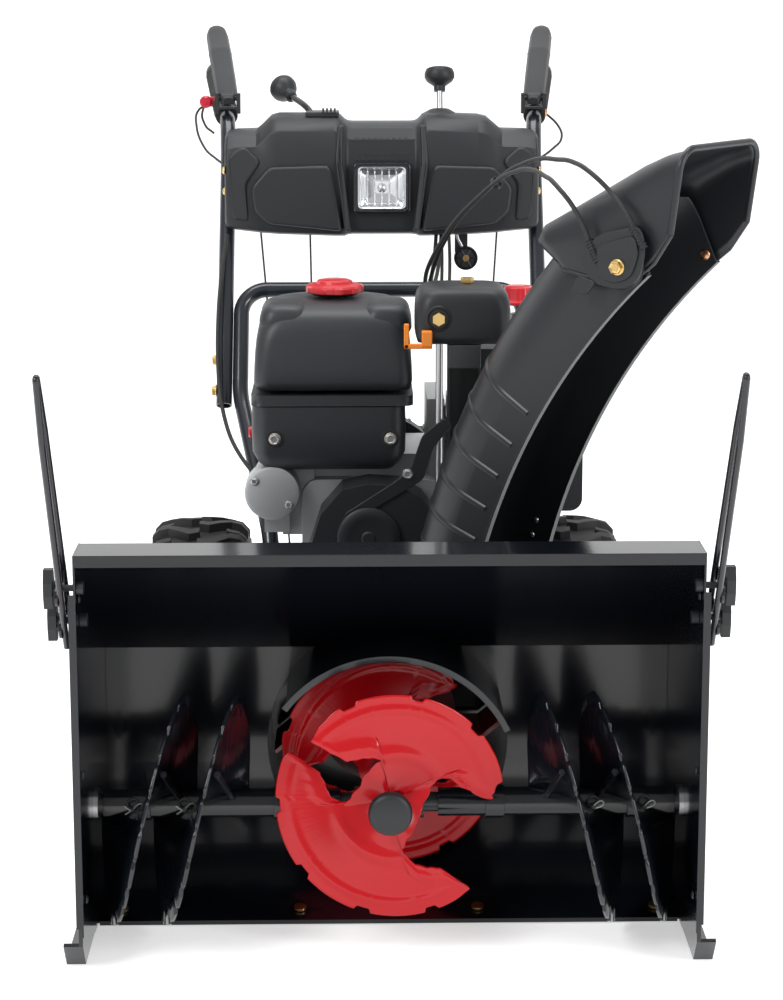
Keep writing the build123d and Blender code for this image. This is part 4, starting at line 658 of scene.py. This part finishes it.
# ---------------------------------------------------------------- chute head, clip and arms
head = loft("chute_head_shell", [
    super_ring(42, 168, 422, 538, 710, 18), super_ring(40, 170, 420, 540, 716, 20), super_ring(40, 170, 420, 540,
            762, 22),
    super_ring(43, 167, 423, 537, 776, 24), super_ring(50, 160, 430, 530, 785, 24), super_ring(62, 148, 442, 518,
            789, 22)],
    PLASTIC, sharp=60, smooth=1)
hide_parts("chute_head")
lathe("head_boss", (71, 421, 748), (0, -1, 0), [(0, 18), (2, 17), (2.5, 15), (0.5, 13), (0.5, 0.01)], PLASTIC)
box("orange_clip", (24, 407, 709), (62, 413, 716), ORANGE)
box("orange_clip_side", (24, 407, 709), (31, 413, 743), ORANGE)
box("orange_clip_tab", (48, 405, 712), (62, 420, 733), ORANGE)
box("head_plate", (84, 418, 680), (128, 421, 712), DARK_STEEL)
arm = rounded([(-60, 470), (-44, 462), (20, 500), (52, 520), (66, 566), (92, 596), (80, 606), (50, 582), (34, 534),
        (8, 514)], 8)
plate("belt_arm", arm, lambda u, v, w: (u, w, v), 452, 456, FRAME)
bolt("arm_bolt", (30, 452, 528), (0, -1, 0), 11, 5, STEEL)

# ---------------------------------------------------------------- dash, headlight and controls
def dash_outline(front, top, low):
    """(Y, Z) section of the dash from its low front edge round to the back."""
    return [(915 + front, low + 8), (919 + front * 0.8, low), (936, low - 4), (960, low + 30), (1030, top - 12),
            (1027, top - 3), (1016, top), (964, top), (944, top - 6), (926 + front * 0.5, top - 24),
            (917 + front, top - 62)]


stations = [(-243, 10, 955, 826), (-240, 3, 961, 820), (-226, 0, 964, 816), (-194, 0, 965, 812), (-186, 0, 972, 811),
            (-172, 0, 986, 810), (-160, 0, 989, 809), (-72, 0, 989, 806), (-64, 0, 986, 806), (-58, 4, 980, 806),
            (-53, 9, 977, 808), (-46, 10, 976, 809), (46, 10, 976, 809), (53, 9, 977, 808), (58, 4, 980, 806),
            (64, 0, 987, 806), (72, 0, 990, 806), (150, 0, 987, 809), (164, 0, 984, 810), (178, 0, 972, 811),
            (186, 0, 965, 812), (226, 0, 964, 816), (240, 3, 961, 820), (243, 10, 955, 826)]
dash = loft("dash_shell", [[(x, y, z) for y, z in dash_outline(f, t, lo)] for x, f, t, lo in stations], PLASTIC,
            bevel=1.8, sharp=28)
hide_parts("dash_panel")


def raised_panel(name, outline, y, deep, finish=PLASTIC, bevel=4.0):
    plate(name, rounded(outline, 9), lambda u, v, w: (u, w + (max(0, v - 905)) * 0.28, v), y, y + deep, finish,
          bevel=bevel)


for side in (-1, 1):
    raised_panel(f"dash_lower_{side}", [(side * 62, 812), (side * 176, 824), (side * 197, 842), (side * 202, 880),
                 (side * 175, 911), (side * 80, 914)][::side], 905, 16, bevel=6.0)
    raised_panel(f"dash_upper_{side}", [(side * 80, 932), (side * 146, 934), (side * 158, 950), (side * 150, 964),
                 (side * 78, 968)][::side], 911, 16, bevel=5.0)
    raised_panel(f"dash_side_{side}", [(side * 206, 826), (side * 232, 832), (side * 236, 930), (side * 214, 944),
                 (side * 186, 920), (side * 210, 884)][::side], 911, 12, bevel=5.0)
    raised_panel(f"dash_ridge_{side}", [(side * 47, 812), (side * 58, 812), (side * 72, 920), (side * 68, 974),
                 (side * 59, 974), (side * 61, 920)][::side], 908, 16, bevel=3.0)
for row in range(5):
    for column in range(9):
        x = -38 + column * 9.4 + (4.7 if row % 2 else 0)
        z = 918 + row * 8.2
        lathe(f"grille_cell_{row}_{column}", (x, 926 + (z - 905) * 0.16, z), (0, -1, 0), [(0, 4.6), (1.4, 4.1),
                (1.4, 3.3), (0.2, 3.0)],
              PLASTIC, steps=6, sharp=20)
light = box("headlight_bucket", (-41, 922, 842), (41, 934, 914), MIRROR, bevel=3.0)
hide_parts("headlight")
loft("headlight_bowl", [[(x * w, 915 + d, 878 + z * w) for x, z in rounded([(-36, -31), (36, -31), (36, 31), (-36,
        31)], 10)]
     for w, d in ((1.0, 0), (0.92, 3), (0.62, 6), (0.2, 7.2))], MIRROR, caps=False, sharp=50)
frame_ring = [(-43, -38), (43, -38), (43, 38), (-43, 38)]
loft("headlight_bezel", [[(x * w, 915 + d, 878 + z * w) for x, z in rounded(frame_ring, 8)] for w, d in
     ((1.02, 7), (1.02, -1.2), (0.98, -2.2), (0.88, -1.6), (0.86, 2.0))], GLOSS, caps=False, sharp=40)
for k in range(7):
    box(f"lens_rib_{k}", (-33 + k * 11 - 0.9, 915.6, 851), (-33 + k * 11 + 0.9, 917.4, 905), MIRROR, bevel=0.6)
lathe("bulb", (0, 921, 878), (0, -1, 0), [(0, 7), (3, 7), (5, 5), (6, 0.01)], STEEL, steps=24)
box("lens_cover", (-39, 912.6, 844), (39, 914.4, 912), LENS, bevel=0.8)

dome_profile = [(0, 37), (4, 36.5), (12, 32), (20, 23), (25, 14), (26, 9)]
lathe("joystick_boot", (92, 1000, 970), (0, 0, 1), dome_profile + [(26, 0.01)], PLASTIC, steps=48,
      wave=lambda a: 1.0 + 0.02 * (1 if SIN(11 * a) > 0 else -1))
stick = lathe("joystick_stem", (92, 992, 944), (0, 0.28, 0.96), [(0, 0.01), (0, 4.5), (92, 4.5), (92, 0.01)], STEEL,
        "joystick_body",
              steps=24)
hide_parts("joystick")
lathe("joystick_knob", (92, 1020, 1032), (0, 0.28, 0.96),
      [(-12, 4.6), (-11, 9), (-3, 9), (0, 13), (5, 20), (11, 23.5), (18, 23.5), (24, 21), (25.5, 18), (24.5, 14),
       (27, 8),
       (27.5, 0.01)], PLASTIC, "joystick_body", steps=40)
box("shift_gate", (-118, 950, 985), (-66, 1004, 993), PLASTIC, bevel=2.0)
for k in range(4):
    box(f"shift_notch_{k}", (-92 + k * 6, 948, 990), (-89 + k * 6, 956, 999), PLASTIC, bevel=0.6)
shift = tube("shift_rod", [(-103, 985, 932), (-103, 985, 970), (-107, 990, 984), (-150, 1072, 1017)], 5, GLOSS,
        "shift_lever_body")
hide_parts("shift_lever")
lathe("shift_knob", (-147, 1066, 1015), (-0.44, 0.80, 0.40),
      [(-14, 5.2), (-12, 9), (0, 10), (4, 14), (10, 19), (17, 21.5), (24, 21.5), (29, 19), (30.5, 16), (29.5, 12),
       (32, 7),
       (32.5, 0.01)], PLASTIC, "shift_lever_body", steps=40)

def grip_end(side):
    return Vector((side * 277, 1342.4, 1034))


def grip_low(side):
    bend = Vector((side * 244, 1062, 972))
    return grip_end(side) - (grip_end(side) - bend).normalized() * 256


for side, word, body in ((-1, "left", "drive_lever_body"), (1, "right", "auger_lever_body")):
    pivot = Vector((side * 244, 1066, 1008))
    tip = Vector((side * 277, 1335, 1111))
    run = (tip - pivot).normalized()
    wide = Vector((1, 0, 0)) - run * run.x
    wide.normalize()
    up = wide.cross(run).normalized()
    if up.z < 0:
        up = -up
    rings = []
    for share, w, t in ((-0.04, 10, 6), (0.0, 14, 8), (0.05, 17.5, 9.5), (0.3, 18.5, 10.5), (0.6, 19, 11), (0.63,
            19.6, 11.5),
                        (0.645, 19.0, 10.8), (0.88, 18.6, 10.5), (0.93, 17.2, 10), (0.965, 14, 9), (0.985, 10, 7.5),
                        (1.0, 4, 5)):
        middle = pivot + run * (tip - pivot).length * share
        ring = [middle + wide * w * a + up * t * b for a, b in
                ((-1, -0.2), (-0.72, -1), (0.72, -1), (1, -0.2), (0.8, 0.75), (0.35, 1), (-0.35, 1), (-0.8, 0.75))]
        rings.append(ring)
    lever = loft(f"lever_paddle_{word}", rings, PLASTIC, body, bevel=1.4, sharp=25)
    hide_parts("auger_lever" if side > 0 else "drive_lever")
    lathe(f"lever_hub_{word}", pivot - Vector((10, 0, 0)), (1, 0, 0), [(0, 4.2), (0, 9), (20, 9), (20, 4.2)],
            PLASTIC, body, steps=32)
    for k in range(16):
        share = k / 15
        spot = grip_low(side).lerp(grip_end(side), 0.08 + share * 0.86)
        axis = grip_end(side) - grip_low(side)
        lathe(f"grip_ring_{word}_{k}", spot, axis, [(-3, 17.8), (-2, 19.2), (2, 19.2), (3, 17.8)], RUBBER, steps=32)
    for number, (y, z) in enumerate(((915, 905), (925, 872))):
        dome(f"dash_bolt_{word}_{number}", (side * 243, y + 12, z), (side, 0, 0), 6, 4, ZINC)
    for number, (y, z) in enumerate(((814.5, 580), (840, 623))):
        bolt(f"handle_bolt_{word}_{number}", (side * 253.3, y, z), (side, 0, 0), 13, 7, ZINC)
lathe("signal_lens", (-284, 1150, 998), (0, -1, 0), [(0, 0.01), (0, 10), (6, 10), (9, 7), (9, 0.01)], SIGNAL, steps=28)
box("signal_socket", (-278, 1148, 990), (-262, 1160, 1006), RED_PLASTIC)
tube("signal_wire", [(-284, 1158, 992), (-296, 1150, 985), (-298, 1120, 960), (-284, 1080, 930), (-262, 1030, 915),
        (-240, 985, 905)], 1.8, RUBBER)
tube("signal_wire_loop", [(-280, 1160, 998), (-290, 1165, 985), (-286, 1140, 962), (-270, 1110, 950)], 1.8, RUBBER)
tube("right_wire", [(262, 1120, 985), (284, 1090, 965), (288, 1050, 945), (270, 1015, 930), (244, 985, 915)], 1.8,
        RUBBER)
dome("right_lever_bolt", (262, 1060, 985), (1, 0, 0), 7, 4, COPPER)

# ---------------------------------------------------------------- cable pulley, wires and springs
lathe("cable_pulley_rim", (131, 934, 767), (0, 1, 0), [(0, 14), (0, 18.5), (3, 18.5), (5, 16.5), (7, 18.5), (11,
        18.5), (11, 14), (0, 14)],
      GLOSS, steps=40)
lathe("cable_pulley_hub", (131, 932.5, 767), (0, 1, 0), [(0, 0.01), (0, 5), (14, 5), (14, 0.01)], ZINC, steps=24)
for k in range(6):
    a = PI / 3 * k
    tube(f"pulley_spoke_{k}", [(131 + 4 * COS(a), 936, 767 + 4 * SIN(a)), (131 + 15 * COS(a), 936,
            767 + 15 * SIN(a))], 2.2, GLOSS,
         smooth=False)
tube("pulley_strap", [(116, 948, 830), (118, 948, 800), (127, 948, 780), (131, 947, 767)], 3, STEEL)


def spring(name, low, high, radius, turns, wire, finish):
    low, high = Vector(low), Vector(high)
    run, side, up = frame_of(high - low, (0, 1, 0))
    route = [low + run * ((high - low).length * k / (turns * 10)) + (side * COS(2 * PI * k / 10)
            + up * SIN(2 * PI * k / 10)) * radius
             for k in range(turns * 10 + 1)]
    tube(name, route, wire, finish, smooth=False)


spring("return_spring", (-106, 872, 560), (-109, 900, 660), 6, 14, 1.1, STEEL)
spring("clutch_spring", (-158, 838, 430), (-164, 858, 500), 6, 10, 1.1, STEEL)
lathe("zip_tie", (148, 430, 930), (0.55, -0.55, 0.6), [(-2.5, 7.5), (-2.5, 8.4), (2.5, 8.4), (2.5, 7.5)], PLASTIC,
        steps=24)
for number, (x, y) in enumerate(((-8, 935), (4, 935))):
    tube(f"down_cable_{number}", [(100 + x, y, 812), (101 + x, y - 20, 770), (99 + x, y - 60, 730), (96 + x,
            y - 120, 700)], 2.6, RUBBER)

def swept(name, routes, radius, finish):
    """One mesh of smooth tubes through each route's points."""
    joined = bmesh.new()
    for number, route in enumerate(routes):
        guide = tube(f"{name}_guide_{number}", route, radius, finish, ride=False)
        bpy.context.view_layer.update()
        joined.from_mesh(bpy.data.meshes.new_from_object(guide.evaluated_get(bpy.context.evaluated_depsgraph_get())))
        bpy.data.objects.remove(guide)
    mesh = bpy.data.meshes.new(name)
    joined.to_mesh(mesh)
    joined.free()
    mesh.materials.append(finish)
    for face in mesh.polygons:
        face.use_smooth = True
    made = bpy.data.objects.new(name, mesh)
    bpy.context.scene.collection.objects.link(made)
    return made


far_cable = [(98, 985, 902.4), (96, 972, 855), (93, 940, 812), (89, 893, 780), (84, 838, 762), (79, 780, 755),
             (74, 722, 752), (69, 664, 756), (66, 608, 768), (68, 560, 798), (82, 525, 840), (104, 487, 880),
             (132, 448, 914), (160, 405, 946), (180, 358, 962), (196, 305, 972), (211, 232, 977), (226, 165, 979),
             (243, 119, 970), (264, 103, 950), (282, 84, 926), tuple(place(314, 905, 104))]
near_cable = [(90, 985, 902.4), (88, 972, 855), (85, 940, 812), (81, 893, 780), (76, 838, 762), (71, 780, 755),
              (66, 722, 752), (61, 664, 756), (58, 608, 768), (60, 560, 798), (75, 520, 836), (97, 482, 876),
              (125, 443, 910), (150, 395, 938), (166, 345, 952), (181, 288, 960), (195, 215, 958), (206, 148, 950),
              (222, 131, 930), (235, 120, 906), tuple(place(252, 885, 104))]
cables = swept("pitch_cable_pair", (far_cable, near_cable), 3.0, RUBBER)
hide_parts("pitch_cables")
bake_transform(cables)

# ---------------------------------------------------------------- housing trim
for side in (-1, 1):
    for number, (y, z) in enumerate(((70, 60), (180, 60))):
        bolt(f"shoe_bolt_{side}_{number}", (side * 381.4, y, z), (side, 0, 0), 14, 7, STEEL)
    for angle in range(3):
        a = 2 * PI * angle / 3 + PI / 2
        bolt(f"bearing_bolt_{side}_{angle}", (side * 380.4, 144 + 27 * COS(a), 168 + 27 * SIN(a)), (side, 0, 0), 9,
                5, STEEL)
    for number, (y, z) in enumerate(((12, 470), (12, 250), (12, 90))):
        dome(f"flange_rivet_{side}_{number}", (side * 372.5, y + 10, z), (-side, 0, 0), 5, 2.5, FRAME)

# ---------------------------------------------------------------- studio
sweep = [(-12.0, 0.0), (4.0, 0.0)] + [(4.0 + 3 * SIN(k * PI / 24), 3 - 3 * COS(k * PI / 24)) for k in range(1,
        13)] + [(7.0, 14.0)]
floor = bpy.data.meshes.new("floor")
floor.from_pydata([(x, y, z) for y, z in sweep for x in (-14, 14)], [],
                  [(2 * k, 2 * k + 1, 2 * k + 3, 2 * k + 2) for k in range(len(sweep) - 1)])
for face in floor.polygons:
    face.use_smooth = True
ground = bpy.data.objects.new("floor", floor)
bpy.context.scene.collection.objects.link(ground)
paper = material("paper", (0.88, 0.88, 0.88), 0.9, bevel=0.0, specular=0.1)
glow = paper.node_tree.nodes["Principled BSDF"]
glow.inputs["Emission Color"].default_value = (1.0, 1.0, 1.0, 1.0)
glow.inputs["Emission Strength"].default_value = 0.5
floor.materials.append(paper)

world = bpy.data.worlds.new("studio")
bpy.context.scene.world = world
world.use_nodes = True
sky = world.node_tree.nodes["Background"]
sky.inputs["Color"].default_value = (1.0, 1.0, 1.0, 1.0)
sky.inputs["Strength"].default_value = 0.5


def softbox(name, spot, target, size, power, color=(1, 1, 1)):
    lamp = bpy.data.lights.new(name, "AREA")
    lamp.shape = "RECTANGLE"
    lamp.size, lamp.size_y = size
    lamp.energy = power
    lamp.color = color
    holder = bpy.data.objects.new(name, lamp)
    bpy.context.scene.collection.objects.link(holder)
    holder.location = spot
    holder.rotation_euler = (Vector(target) - Vector(spot)).to_track_quat("-Z", "Y").to_euler()


softbox("key", (-2.4, -2.4, 2.9), (0, 0, 0.5), (1.0, 1.8), 75)
softbox("fill", (2.6, -2.2, 1.8), (0, 0, 0.5), (0.8, 2.0), 50)
softbox("top", (0, 0.2, 3.4), (0, 0, 0.4), (2.4, 1.6), 60)

camera_data = bpy.data.cameras.new("camera")
camera = bpy.data.objects.new("camera", camera_data)
bpy.context.scene.collection.objects.link(camera)
bpy.context.scene.camera = camera
camera.location = at(-36.9, -2692.5, 1211.5)
camera.rotation_euler = (PI / 2 - 0.1824, 0, -0.0188)
camera_data.sensor_width = 36
camera_data.lens = 84.21
camera_data.shift_x, camera_data.shift_y = -0.0105, -0.1
camera_data.clip_end = 60
bpy.context.scene.view_settings.view_transform = "Standard"

bpy.context.view_layer.update()
